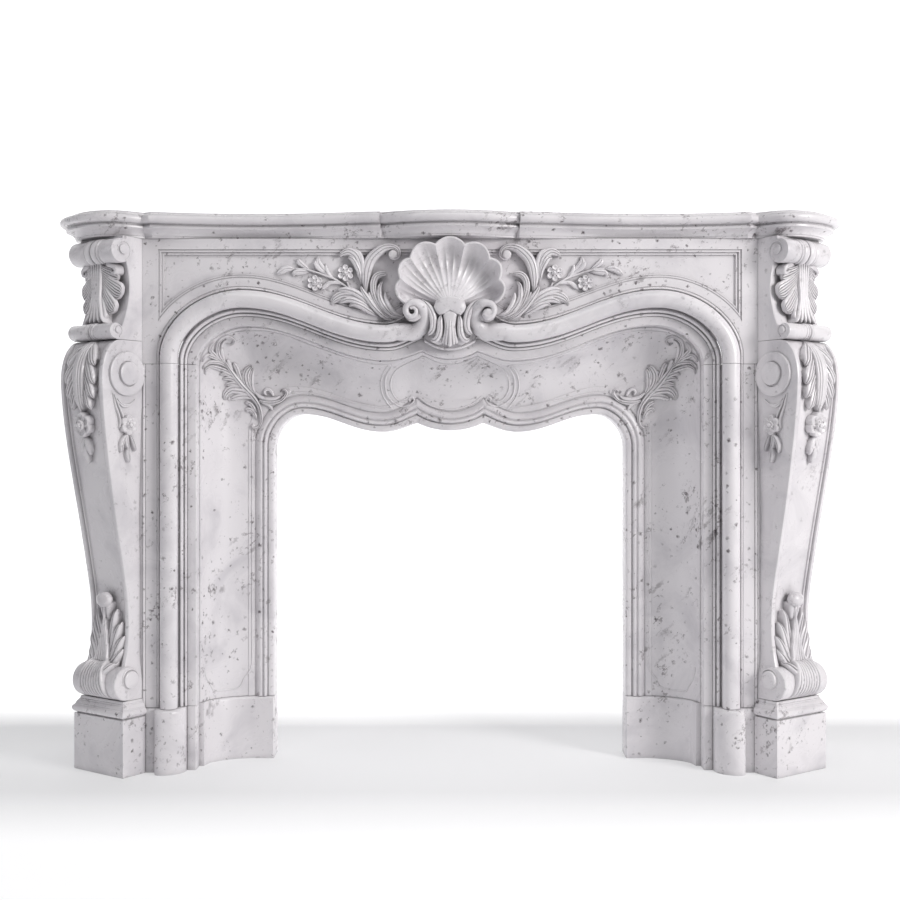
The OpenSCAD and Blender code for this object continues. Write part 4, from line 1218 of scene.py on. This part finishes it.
def makeInnerFoot():
    # the cove again in block form, proud of the panel above, with a softened top
    proud = slip["footProud"]
    top = footH - arch["joint"]
    front = [(halfOpen, slipY - proud - 2), (halfOpen + 1.4, slipY - proud - 4)]
    for s in np.linspace(0.12, 0.93, 22):
        front.append((halfOpen + s * coveW, float(coveY(s)) - proud - 4 * (1 - smooth(s / 0.4))))
    back = [(halfOpen + 0.945 * coveW, slabBack + 0.2), (halfOpen + slip["reach"] * coveW, slabBack + 0.2),
            (halfOpen + slip["reach"] * coveW, slabBack + slip["backStep"]),
            (halfOpen + slip["backW"] * coveW, slipBack), (halfOpen, slipBack)]
    rings = []
    for z, pull in ((0, 0), (top - 5, 0), (top - 2.5, 1.2), (top - 0.8, 3.2), (top, 5.4)):
        rings.append([(x, min(y + pull, slabBack) if x > halfOpen + coveW * 0.9 else y + pull, z)
                      for x, y in front] + [(x, y, z) for x, y in back])
    finishPair("InnerFoot", loft(rings), 38)


makeSlips()
makeInnerFoot()
print("slips made")


def placed(shape):
    # from the console's own frame (across, back from the plinth's front, up) to its canted place on the right
    p = np.asarray(shape[0])
    c, s = math.cos(cant), math.sin(cant)
    return np.c_[seatX + p[:, 0] * c - p[:, 1] * s, seatY + p[:, 0] * s + p[:, 1] * c, p[:, 2]], shape[1]


console = {
    "base": consoleLow[2], "top": consoleHigh[2], "reach": 42, "inset": 10, "taper": 0.10,
    "scrollR": 33, "scrollT": 20, "discT": 17, "discZ": 789,
    # the front from an edge to its middle, as distance in and height above the border
    "front": [(0, -2.6), (0.7, -1.0), (2.2, -0.1), (6.5, 0.5), (9.4, 0.0), (10.4, -1.6),
              (10.9, -5.6), (12.0, -6.4), (12.8, -5.0), (14.4, -3.6), (16.2, -4.4), (17.2, -7.6),
              (18.6, -8.4), (26, -8.2), (40, -7.8)],
    "bandIn": 27, "bandSink": 1.8,
    # turned parts as radius and height: the volute's two discs and the cup of the round flower
    "bigDisc": [(43.5, 5), (43.5, -3.4), (42.9, -5.2), (41.2, -6.2), (38, -6.4), (25.4, -5.4), (24.6, -3.6)],
    "smallDisc": [(23, 2), (23, -7.4), (22.5, -9.0), (20.6, -10.0), (12, -10.4), (0.05, -10.6)],
    "cup": [(10.5, 4), (10.5, -13), (8.5, -16), (4, -17.4), (0.05, -17.8)],
    # on the cheeks, across and up from each group's own place: lines, then stems and petals with their widths
    "linesZ": 740, "lineWidths": [2, 4, 5, 4, 2],
    "lines": [[(-20, 0), (-10, -9), (2, -12), (14, -9), (24, 0)],
              [(-14, -7), (-3, -14), (8, -15), (18, -10), (26, -2)]],
    "stemsT": 19, "stemsZ": 708,
    "stems": [([(33, 40), (24, 22), (14, 4), (10, -8)], [3, 4, 5, 4]),
              ([(36, 42), (30, 20), (22, 2), (18, -14), (20, -26)], [3, 4, 4.6, 4, 3])],
    "bloomT": 20, "bloomZ": 689,
    "bloom": [([(0, -12), (4, -26), (2, -40), (-2, -48)], [5, 11, 12, 6]),
              ([(2, -16), (12, -30), (17, -44), (16, -54)], [5, 10, 11, 6]),
              ([(-2, -16), (-10, -30), (-16, -44), (-17, -52)], [4, 8, 9, 5]),
              ([(0, -40), (1, -54), (-1, -66), (-2, -74)], [5, 10, 11, 6])],
    # the front's upper leaf: its lobes as tip height, reach and width, its ribs as distance out and width
    "fallingLobes": [(804, 36, 21), (768, 38, 22), (741, 35, 20), (719, 25, 17)], "lobeLong": 66,
    "leafTop": 857,
    "fallingRibs": [(0, 7), (6, 6.4), (12, 5.8)],
    # the petals that drop from the round flower, as places across, up and out
    "flowerZ": 690,
    "petals": [([(0, 668, 4), (-5, 655, 7), (-8, 643, 7), (-8, 630, 4)], [6, 12, 13, 6]),
               ([(0, 668, 4), (6, 652, 7), (9, 640, 7), (9, 634, 4)], [6, 11, 12, 6]),
               ([(0, 652, 4), (1, 640, 8), (1, 628, 8), (0, 614, 4)], [6, 12, 13, 7])],
    # the leaf below, in the same terms as the one above
    "climbingLobes": [(318, 28, 16), (293, 40, 18), (266, 47, 18), (240, 46, 17), (216, 40, 14)],
    "climbLong": 118,
    "climbingRibs": [(0, 8.5), (7.5, 8), (15, 7.5), (23, 8), (31, 8)], "leafFoot": 150,
}
midA = plinth["w"] / 2
consoleH = console["top"] - console["base"]


def consoleLine():
    # the front profile from the top down: volute, long reverse curve, lower scroll
    top, h, reach = console["top"] - arch["joint"], consoleH, console["reach"]
    return np.vstack([
        bezier((3, top), (-20, top), (-reach, top - 0.04 * h), (-reach, top - 0.11 * h), 22),
        bezier((-reach, top - 0.11 * h), (-reach + 2, top - 0.26 * h), (0, top - 0.5 * h),
               (24, top - 0.7 * h), 46, 1),
        bezier((24, top - 0.7 * h), (31, top - 0.78 * h), (30, top - 0.86 * h),
               (console["scrollT"] - 4, console["base"] + 2 * console["scrollR"] - 1), 26, 1),
        [(console["scrollT"] + console["scrollR"] * math.cos(a),
          console["base"] + 0.4 + console["scrollR"] * (1 + math.sin(a)))
         for a in np.radians(np.linspace(108, 268, 30))]])


consoleFront = evenly(consoleLine(), 170)
consoleWay = np.gradient(consoleFront, axis=0)
consoleWay /= np.linalg.norm(consoleWay, axis=1)[:, None]
consoleWay = np.c_[consoleWay[:, 1], -consoleWay[:, 0]]


def onConsole(points, lift=0.0):
    # (a, z, out) points set on the console's front, which falls steadily down to its scroll
    z = consoleFront[::-1, 1]
    spots, ways = [], []
    for p in points:
        k = np.interp(p[1], z, np.arange(len(z)))
        i = len(z) - 1 - k
        t = np.interp(i, np.arange(len(z)), consoleFront[:, 0])
        way = np.array([np.interp(i, np.arange(len(z)), consoleWay[:, j]) for j in (0, 1)])
        way /= np.linalg.norm(way)
        out = lift + (p[2] if len(p) > 2 else 0)
        spots.append((p[0], t + way[0] * out, p[1] + way[1] * out))
        ways.append((0, way[0], way[1]))
    return np.array(spots), np.mean(ways, 0)


def consoleBlade(points, widths, rise=6, flutes=2, lift=-7.4, n=24, **more):
    line = spline([tuple(p) + ((0.0,) if len(p) < 3 else ()) for p in points], n)
    spots, up = onConsole(line, lift)
    return blade(spots, widths, rise, flutes, up=up / np.linalg.norm(up), n=n, **more)


def consoleBody():
    half = midA - console["inset"]
    rings = []
    for (t, z), way in zip(consoleFront, consoleWay):
        narrow = 1 - console["taper"] * smooth((console["top"] - 90 - z) / 300) * smooth((z - 175) / 60)
        edge = half * narrow
        ring = []
        full = 1 - smooth((z - console["top"] + 16) / 14)
        for side in (-1, 1):
            row = [(midA + side * (edge - d), t + way[0] * h * full, z + way[1] * h * full)
                   for d, h in console["front"]]
            ring += row if side < 0 else row[::-1]
        back = plinth["d"]
        zBack = min(max(z, console["base"] + 0.4), console["top"] - 0.4)
        sink = console["bandSink"] * smooth((735 - z) / 40) * smooth((z - 400) / 120)
        cheek = []
        for d in (console["bandIn"], console["bandIn"] + 1.5):
            cheek.append((min(t - way[0] * d, back - 1), z - way[1] * d * (way[0] < -0.8)))
        for side in (1, -1):
            a = midA + side * edge
            s = midA + side * (edge - sink)
            row = [(a, cheek[0][0], z), (s, cheek[1][0], z), (s, back, zBack)]
            ring += row if side > 0 else row[::-1]
        rings.append(ring)
    return loft(rings)


def cheekSide(shape, inner, t, z):
    # a shape built facing -Y becomes a carving on one cheek, at depth t and height z
    p = np.asarray(shape[0])
    narrow = 1 - console["taper"] * smooth((console["top"] - 90 - z) / 300)
    edge = (midA - console["inset"]) * narrow
    a = midA - edge + p[:, 1] if inner else midA + edge - p[:, 1]
    return np.c_[a, t + (p[:, 0] if not inner else -p[:, 0]), z + p[:, 2]], shape[1]


def consoleScroll():
    # the lower scroll: a drum with spiral lips and a raised eye on each cheek
    r, t0, z0 = console["scrollR"], console["scrollT"], console["base"] + console["scrollR"] + 0.4
    half = midA - console["inset"]
    drum = [(0.05, -half - 1.6), (r - 4, -half - 1.6), (r - 1.4, -half - 0.8), (r, -half + 1.2),
            (r, half - 1.2), (r - 1.4, half + 0.8), (r - 4, half + 1.6), (0.05, half + 1.6)]
    parts = [turned((midA, t0, z0), drum, (1, 0, 0), (0, 1, 0), 56)]
    for side in (-1, 1):
        eye = [(17.5, 0), (17.5, half + 5), (16.9, half + 7.6), (14.8, half + 8.8), (7, half + 9.4),
               (0.05, half + 9.6)]
        parts.append(turned((midA, t0 + 5, z0 + 8), [(q, side * h) for q, h in eye], (1, 0, 0),
                            (0, 1, 0), 40))
        lip = [(midA + side * (half + 1.4), t0 + 5 + q * math.cos(b), z0 + 8 + q * math.sin(b))
               for b, q in zip(np.radians(np.linspace(-60, -360, 40)), np.linspace(15, 22.5, 40))]
        parts.append(fillet(lip, 1.9, 60))
    return parts


def consoleCheek(inner):
    # the upper volute's two raised discs, the lines below them, and the small flower that hangs there
    def strand(points, widths, rise, flutes, t, z, **more):
        return cheekSide(blade([(x, 0, up) for x, up in points], widths, rise, flutes, **more), inner, t, z)

    t, z = console["discT"], console["discZ"]
    parts = [cheekSide(turned((0, 0, 0), console["bigDisc"], (0, 1, 0), (1, 0, 0), 72), inner, t, z),
             cheekSide(turned((0, 0, 0), console["smallDisc"], (0, 1, 0), (1, 0, 0), 56), inner,
                       t + 2, z + 1)]
    for points in console["lines"]:
        parts.append(strand(points, console["lineWidths"], 3.6, 0, t + 1, console["linesZ"], sink=4,
                            n=24, m=8))
    for points, widths in console["stems"]:
        parts.append(strand(points, widths, 4.4, 0, console["stemsT"], console["stemsZ"], sink=4, n=22, m=8))
    bloom = rosette(20, 6, seed=11, stamens=9, button=0.34, high=1.7, full=1.2)
    parts.append(cheekSide(bloom, inner, console["bloomT"], console["bloomZ"]))
    for points, widths in console["bloom"]:
        parts.append(strand(points, widths, 7.4, 2, console["bloomT"], console["bloomZ"], sink=5,
                            n=20, blunt=0.25))
    return parts


def fallingLeaf():
    # the leaf that hangs down the front from the top
    parts = []
    for tip, wide, fat in console["fallingLobes"]:
        start = min(tip + console["lobeLong"], console["leafTop"])
        path = [(2.5, start, 3), (mix(2.5, wide, 0.34), mix(start, tip, 0.30), 6),
                (mix(2.5, wide, 0.72), mix(start, tip, 0.60), 9.5),
                (wide * 0.96, mix(start, tip, 0.86), 10.5), (wide * 1.04, tip, 5)]
        for side in (-1, 1):
            parts.append(consoleBlade([(midA + side * x, z, o) for x, z, o in path],
                                      [7, fat * 0.66, fat * 0.92, fat, fat * 0.6], 4.8, 3, sink=15,
                                      n=34, blunt=0.18, deep=0.95))
    for x, wide in console["fallingRibs"]:
        path = [(x * 0.7, console["leafTop"], 4), (x, 805, 14 - x * 0.2), (x * 0.9, 752, 14 - x * 0.2),
                (x * 0.7, 712 + x * 1.2, 8)]
        for side in ((1,) if x == 0 else (-1, 1)):
            parts.append(consoleBlade([(midA + side * a, z, o) for a, z, o in path],
                                      [wide, wide, wide * 1.1, wide * 0.9], 5.4, 1, sink=18, n=30, m=10))
    return parts


def roundFlower():
    # the round flower under the leaf, turned square to the front, and its drops
    spots, up = onConsole([(midA, console["flowerZ"], -4)])
    cup = joined(rosette(25, 6, seed=21, stamens=0, button=0.34, high=2.4, full=1.36),
                 turned((0, 0, 0), console["cup"], (0, 1, 0), (1, 0, 0), 20),
                 petals(ball((0, -15.5, 0), [1.9] * 3, 6, 8), 9, 8.6, 0.1, 0.12, 5),
                 petals(ball((0, -17.5, 0), [1.9] * 3, 6, 8), 6, 4.8, 0.5, 0.12, 6),
                 ball((0, -18.5, 0), [2.2] * 3, 6, 8))
    tilt = math.atan2(up[2], -up[1])
    c, s = math.cos(tilt), math.sin(tilt)
    parts = [moved(cup, lambda p: np.array([p[0], p[1] * c + p[2] * s, p[2] * c - p[1] * s]) + spots[0])]
    for path, widths in console["petals"]:
        parts.append(consoleBlade([(midA + x, z, o) for x, z, o in path], widths, 5.4, 1, sink=9, n=22,
                                  m=12, blunt=0.2))
    return parts


def climbingLeaf():
    # the leaf that climbs from the lower scroll to its rolled tip
    parts = []
    foot = console["leafFoot"]
    for tip, wide, fat in console["climbingLobes"]:
        start = max(tip - console["climbLong"], foot)
        path = [(4, start, -3), (mix(4, wide, 0.16), mix(start, tip, 0.34), 7),
                (mix(4, wide, 0.54), mix(start, tip, 0.70), 12), (wide * 0.88, tip - 6, 13),
                (wide * 1.02, tip + 6, 7)]
        for side in (-1, 1):
            parts.append(consoleBlade([(midA + side * x, z, o) for x, z, o in path],
                                      [7, fat * 0.6, fat, fat, fat * 0.6], 6, 2, sink=18, n=30,
                                      blunt=0.3, deep=0.8))
    for x, wide in console["climbingRibs"]:
        high = 330 - x * 3.1
        path = [(x * 1.15, foot, 3), (x, 188, 12), (x * 0.72, mix(188, high, 0.5), 18), (x * 0.46, high, 17)]
        for side in ((1,) if x == 0 else (-1, 1)):
            parts.append(consoleBlade([(midA + side * a, z, o) for a, z, o in path],
                                      [wide, wide, wide * 0.84, wide * 0.6], 6, 1, sink=18, n=34, m=10))
    spots = onConsole([(midA, 344, 10)])[0]
    parts.append(ball(spots[0], (19, 14, 15), 20, 28))
    parts.append(consoleBlade([(midA, 300, 8), (midA, 322, 12), (midA, 340, 12)], [20, 28, 32], 9, 3,
                              sink=14, n=18, m=18))
    return parts


def makeConsole():
    parts = [consoleBody()] + consoleScroll() + consoleCheek(True) + consoleCheek(False)
    parts += fallingLeaf() + roundFlower() + climbingLeaf()
    finishPair("Console", placed(joined(*parts)), plain=0)


makeConsole()
print("consoles made")

cap = {
    "top": friezeTop, "base": console["top"], "rollR": 24, "rollT": 3, "footR": 16, "footT": -8,
    # the rolls' bands, as distance from the middle and change of radius
    "bands": [(0, -3.0), (1.2, -2.6), (2.0, 0.4), (4, 1.8), (9, 2.4), (14, 2.0), (16.2, 0.8),
              (17.0, -0.6), (18.0, 0.5), (20, 1.4), (22, 1.0), (23.6, -1.0), (24.4, -0.9), (25.4, -0.1)],
    "footBands": [(0, -2.6), (1.2, -2.2), (2.0, 0.2), (3.6, 1.6), (5.4, 1.2), (6.4, -0.2),
                  (7.4, 0.8), (9.4, 1.5), (11.6, 1.2), (13, -0.3), (14.4, 0)],
}


def bandedRoll(r, t, z, bands, half, eye):
    # a roll across the cap with plain ends, and ridges about a groove in its middle
    row = [(0.05, -half), (r - 3, -half), (r - 0.8, -half + 0.7), (r, -half + 2.6), (r, -bands[-1][0] - 2)]
    row += [(r + up, -d) for d, up in bands[::-1]]
    row += [(q, -h) for q, h in row[:-1][::-1]]
    parts = [turned((midA, t, z), row, (1, 0, 0), (0, 1, 0), 56)]
    for side in (-1, 1):
        knob = [(eye, side * (half - 6)), (eye, side * (half + 2.2)), (eye - 0.8, side * (half + 3.6)),
                (eye - 2.6, side * (half + 4.3)), (0.05, side * (half + 4.6))]
        parts.append(turned((midA, t + r * 0.16, z + r * 0.10), knob, (1, 0, 0), (0, 1, 0), 36))
        lip = [(midA + side * (half - 0.2), t + r * 0.16 + q * math.cos(b), z + r * 0.10 + q * math.sin(b))
               for b, q in zip(np.radians(np.linspace(200, -70, 36)), np.linspace(eye + 2, r - 2.5, 36))]
        parts.append(fillet(lip, 1.5, 50))
    return joined(*parts)


def capFront(z):
    # depth of the cap's hollow front at height z
    top = cap["top"] - 6 - cap["rollR"] - 12
    foot = cap["base"] + cap["footR"] + 4
    line = bezier((14, top), (34, top - 48), (26, foot + 46), (4, foot), 40)
    return float(np.interp(z, line[::-1, 1], line[::-1, 0]))


def capBlade(points, widths, rise=5, flutes=2, n=24, **more):
    # points are (distance from the middle, z, out) over the hollow front
    line = spline(points, n)
    spots = [(midA + x, capFront(z) - out, z) for x, z, out in line]
    return blade(spots, widths, rise, flutes, n=n, **more)


def makeCap():
    gap = arch["joint"]
    half = midA - console["inset"]
    back, top, base = plinth["d"], cap["top"] - gap, cap["base"] + gap
    hollow = bezier((14, cap["top"] - 42), (34, cap["top"] - 90), (26, cap["base"] + 66),
                    (4, cap["base"] + 20), 22)
    side = [(back, base), (back, top), (8, top), (8, top - 10)] + [tuple(p) for p in hollow] + [(-8, base)]
    rings = []
    c = np.array([25.0, (top + base) / 2])
    for a, pull in ((midA - half, 1.2), (midA - half + 1.2, 0), (midA + half - 1.2, 0), (midA + half, 1.2)):
        ring = []
        for t, z in side:
            ring.append((a, t + (pull if t < back - 1 and top - 20 > z > base + 4 else 0), z))
        rings.append(ring)
    parts = [loft(rings)]
    rollZ = cap["top"] - 6 - cap["rollR"]
    footZ = cap["base"] + cap["footR"]
    parts.append(bandedRoll(cap["rollR"], cap["rollT"], rollZ, cap["bands"], half + 2, 10))
    parts.append(bandedRoll(cap["footR"] - 0.4, cap["footT"], footZ + 0.4, cap["footBands"], half + 1, 6.5))
    # the fluted fan in the hollow: four scalloped lobes on each side of a split stem
    lobes = [((47, 978), 34, 6, 0.62), ((57, 947), 38, 7, 0.42), ((44, 913), 34, 6, 0.26),
             ((19, 893), 28, 5, 0.14)]
    for (x, z), fat, flutes, level in lobes:
        start = mix(z, 1010, 0.55 + level * 0.45)
        path = [(3, start, 21), (mix(3, x, 0.35), mix(start, z, 0.46), 23),
                (mix(3, x, 0.72), mix(start, z, 0.82), 18), (x, z, 12)]
        for sign in (-1, 1):
            parts.append(capBlade([(sign * q, h, o) for q, h, o in path],
                                  [9, fat * 0.6, fat * 0.92, fat * 1.05], 3.6, flutes, n=28, sink=6,
                                  blunt=0.2, deep=0.85, curl=2))
    for x, wide in ((0, 8), (7, 8), (14, 7)):
        for sign in ((1,) if x == 0 else (-1, 1)):
            parts.append(capBlade([(sign * x, 1014, 19), (sign * x * 0.8, 978, 25), (sign * x * 0.7, 940, 26),
                                   (sign * x * 1.3, 906, 21), (sign * x * 2.0, 890, 17)],
                                  [wide, wide, wide, wide * 1.3, wide], 6, 1, n=34, m=10,
                                  sink=24, blunt=0.12))
    for sign in (-1, 1):
        curl = [(sign * 20, 1004, 14), (sign * 36, 1003, 18), (sign * 48, 997, 18), (sign * 47, 988, 18),
                (sign * 38, 989, 18), (sign * 38, 996, 18)]
        parts.append(capBlade(curl, [7, 10, 10, 9, 7, 6], 5, 1, n=30, m=10, sink=16))
    finishPair("ConsoleCap", placed(joined(*parts)), 36, plain=0)


def makePlinth():
    w, d, h = plinth["w"], plinth["d"], plinth["blockH"]
    top = console["base"] - arch["joint"]
    # the block and its moulded cap, as height and distance in from the block's front and sides
    rows = [(0, 0.9), (1.2, 0), (h - 1.4, 0), (h - 0.4, 0.9), (h, 2.0), (h + 0.4, 4.2), (h + 1.9, 4.3),
            (h + 2.4, 1.0), (h + 3.4, -0.4), (h + 5.5, -2.2), (h + 8.5, -3.4), (h + 11.5, -3.4),
            (h + 14, -2.4), (h + 16, -0.6), (h + 16.6, 0.6), (h + 18.2, 0.8), (h + 18.6, 2.0), (h + 20, 2.2),
            (h + 22, 3.0), (h + 24, 4.2), (h + 25.4, 5.4), (h + 25.8, 6.4), (h + 28, 6.8), (h + 28.5, 8.2),
            (h + 30.5, 8.4), (top - 1, 8.8), (top, 9.6)]
    rings = [[(q, q, z), (w - q, q, z), (w - q, d, z), (q, d, z)] for z, q in rows]
    finishPair("ConsolePlinth", placed(loft(rings)), 30)


makeCap()
makePlinth()
for name in ("left_return", "right_return"):
    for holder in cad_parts[name].material_slots:
        holder.material = stone
print("caps, plinths and returns made")


studio = {
    "eye": (0.0, -2.589, 0.640), "lens": 50.0, "sensor": 36.0, "surround": 0.02, "matt": "#C8C8CA",
    # the sweep: half its width, where its floor ends, the bend's radius and the wall's height
    "half": 9.0, "bendY": 2.2, "bendR": 1.4, "wallZ": 6.0,
    # its own glow in front, before the mantel, round it and on the wall, and where one fades into the next
    "farGlow": 0.05, "frontGlow": 0.6, "nearGlow": 0.34, "wallGlow": 1.0,
    "frontFade": (-1.15, -0.86), "nearFade": (-0.55, -0.25), "wallFade": (0.14, 0.6),
    # each light: place, aim, width, height, power, warmth
    "lights": {
        "rightKey": ((3.0, -2.4, 1.75), (0.1, -0.1, 0.6), 1.2, 1.2, 94.0, "#FFFDFC"),
        "leftSide": ((-3.4, -1.4, 1.4), (-0.1, 0.0, 0.6), 1.6, 1.6, 17.0, "#FBFBFF"),
        "topPanel": ((0.0, -1.6, 3.2), (0.0, -0.1, 0.6), 2.4, 1.2, 33.0, "#FFFFFF"),
    },
}


def makeCamera():
    eye = bpy.data.cameras.new("studioCamera")
    eye.lens = studio["lens"]
    eye.sensor_width = studio["sensor"]
    holder = bpy.data.objects.new("studioCamera", eye)
    holder.location = studio["eye"]
    holder.rotation_euler = (math.radians(90), 0, 0)
    bpy.context.scene.collection.objects.link(holder)
    bpy.context.scene.camera = holder


def makeLights():
    # three soft panels in a surround that hardly shines
    scene = bpy.context.scene
    for name, (place, aim, wide, high, power, tone) in studio["lights"].items():
        light = bpy.data.lights.new(name, "AREA")
        light.shape = "RECTANGLE"
        light.size, light.size_y = wide, high
        light.energy = power
        light.color = linearOf(tone)[:3]
        lamp = bpy.data.objects.new(name, light)
        lamp.location = place
        lamp.rotation_euler = (Vector(aim) - Vector(place)).to_track_quat("-Z", "Y").to_euler()
        scene.collection.objects.link(lamp)
    world = bpy.data.worlds.new("whiteSurround")
    world.use_nodes = True
    surround = world.node_tree.nodes["Background"].inputs
    surround["Color"].default_value = linearOf("#FFFFFF")
    surround["Strength"].default_value = studio["surround"]
    scene.world = world
    scene.view_settings.view_transform = "Standard"


def sweepMaterial():
    # white and matt, lit by itself round the mantel and dimmer in front
    material = bpy.data.materials.new("whiteSweep")
    material.use_nodes = True
    tree = material.node_tree
    tree.nodes.clear()
    spot = addNode(tree, "ShaderNodeTexCoord")
    axes = addNode(tree, "ShaderNodeSeparateXYZ", links={"Vector": (spot, "Object")})
    front = fade(tree, axes, "Y", studio["frontFade"], studio["farGlow"], studio["frontGlow"])
    near = fade(tree, axes, "Y", studio["nearFade"], studio["frontGlow"], studio["nearGlow"])
    least = addNode(tree, "ShaderNodeMath", {"operation": "MINIMUM"}, None,
                    {0: (near, "Result"), 1: (front, "Result")})
    wall = fade(tree, axes, "Y", studio["wallFade"], 0.0, studio["wallGlow"])
    lit = addNode(tree, "ShaderNodeMath", {"operation": "MAXIMUM"}, None,
                  {0: (least, "Value"), 1: (wall, "Result")})
    matt = addNode(tree, "ShaderNodeBsdfDiffuse", inputs={"Color": linearOf(studio["matt"])})
    glow = addNode(tree, "ShaderNodeEmission", inputs={"Color": linearOf("#FFFFFF")},
                   links={"Strength": (lit, "Value")})
    surface = addNode(tree, "ShaderNodeAddShader", links={0: (matt, "BSDF"), 1: (glow, "Emission")})
    addNode(tree, "ShaderNodeOutputMaterial", links={"Surface": (surface, "Shader")})
    return material


def makeSweep():
    # a floor that bends up behind into a wall
    half, y, r = studio["half"], studio["bendY"], studio["bendR"]
    bend = [(y + r * math.sin(a), r - r * math.cos(a)) for a in np.radians(np.linspace(8, 90, 12))]
    line = [(-half, 0.0), (y, 0.0)] + bend + [(y + r, studio["wallZ"])]
    points = [(x, y, z) for y, z in line for x in (-half, half)]
    faces = [(2 * i, 2 * i + 1, 2 * i + 3, 2 * i + 2) for i in range(len(line) - 1)]
    mesh = bpy.data.meshes.new("sweepFloor")
    mesh.from_pydata(points, [], faces)
    mesh.polygons.foreach_set("use_smooth", [True] * len(faces))
    floor = bpy.data.objects.new("sweepFloor", mesh)
    mesh.materials.append(sweepMaterial())
    bpy.context.scene.collection.objects.link(floor)


makeCamera()
makeLights()
makeSweep()
print("studio set")

bpy.context.view_layer.update()
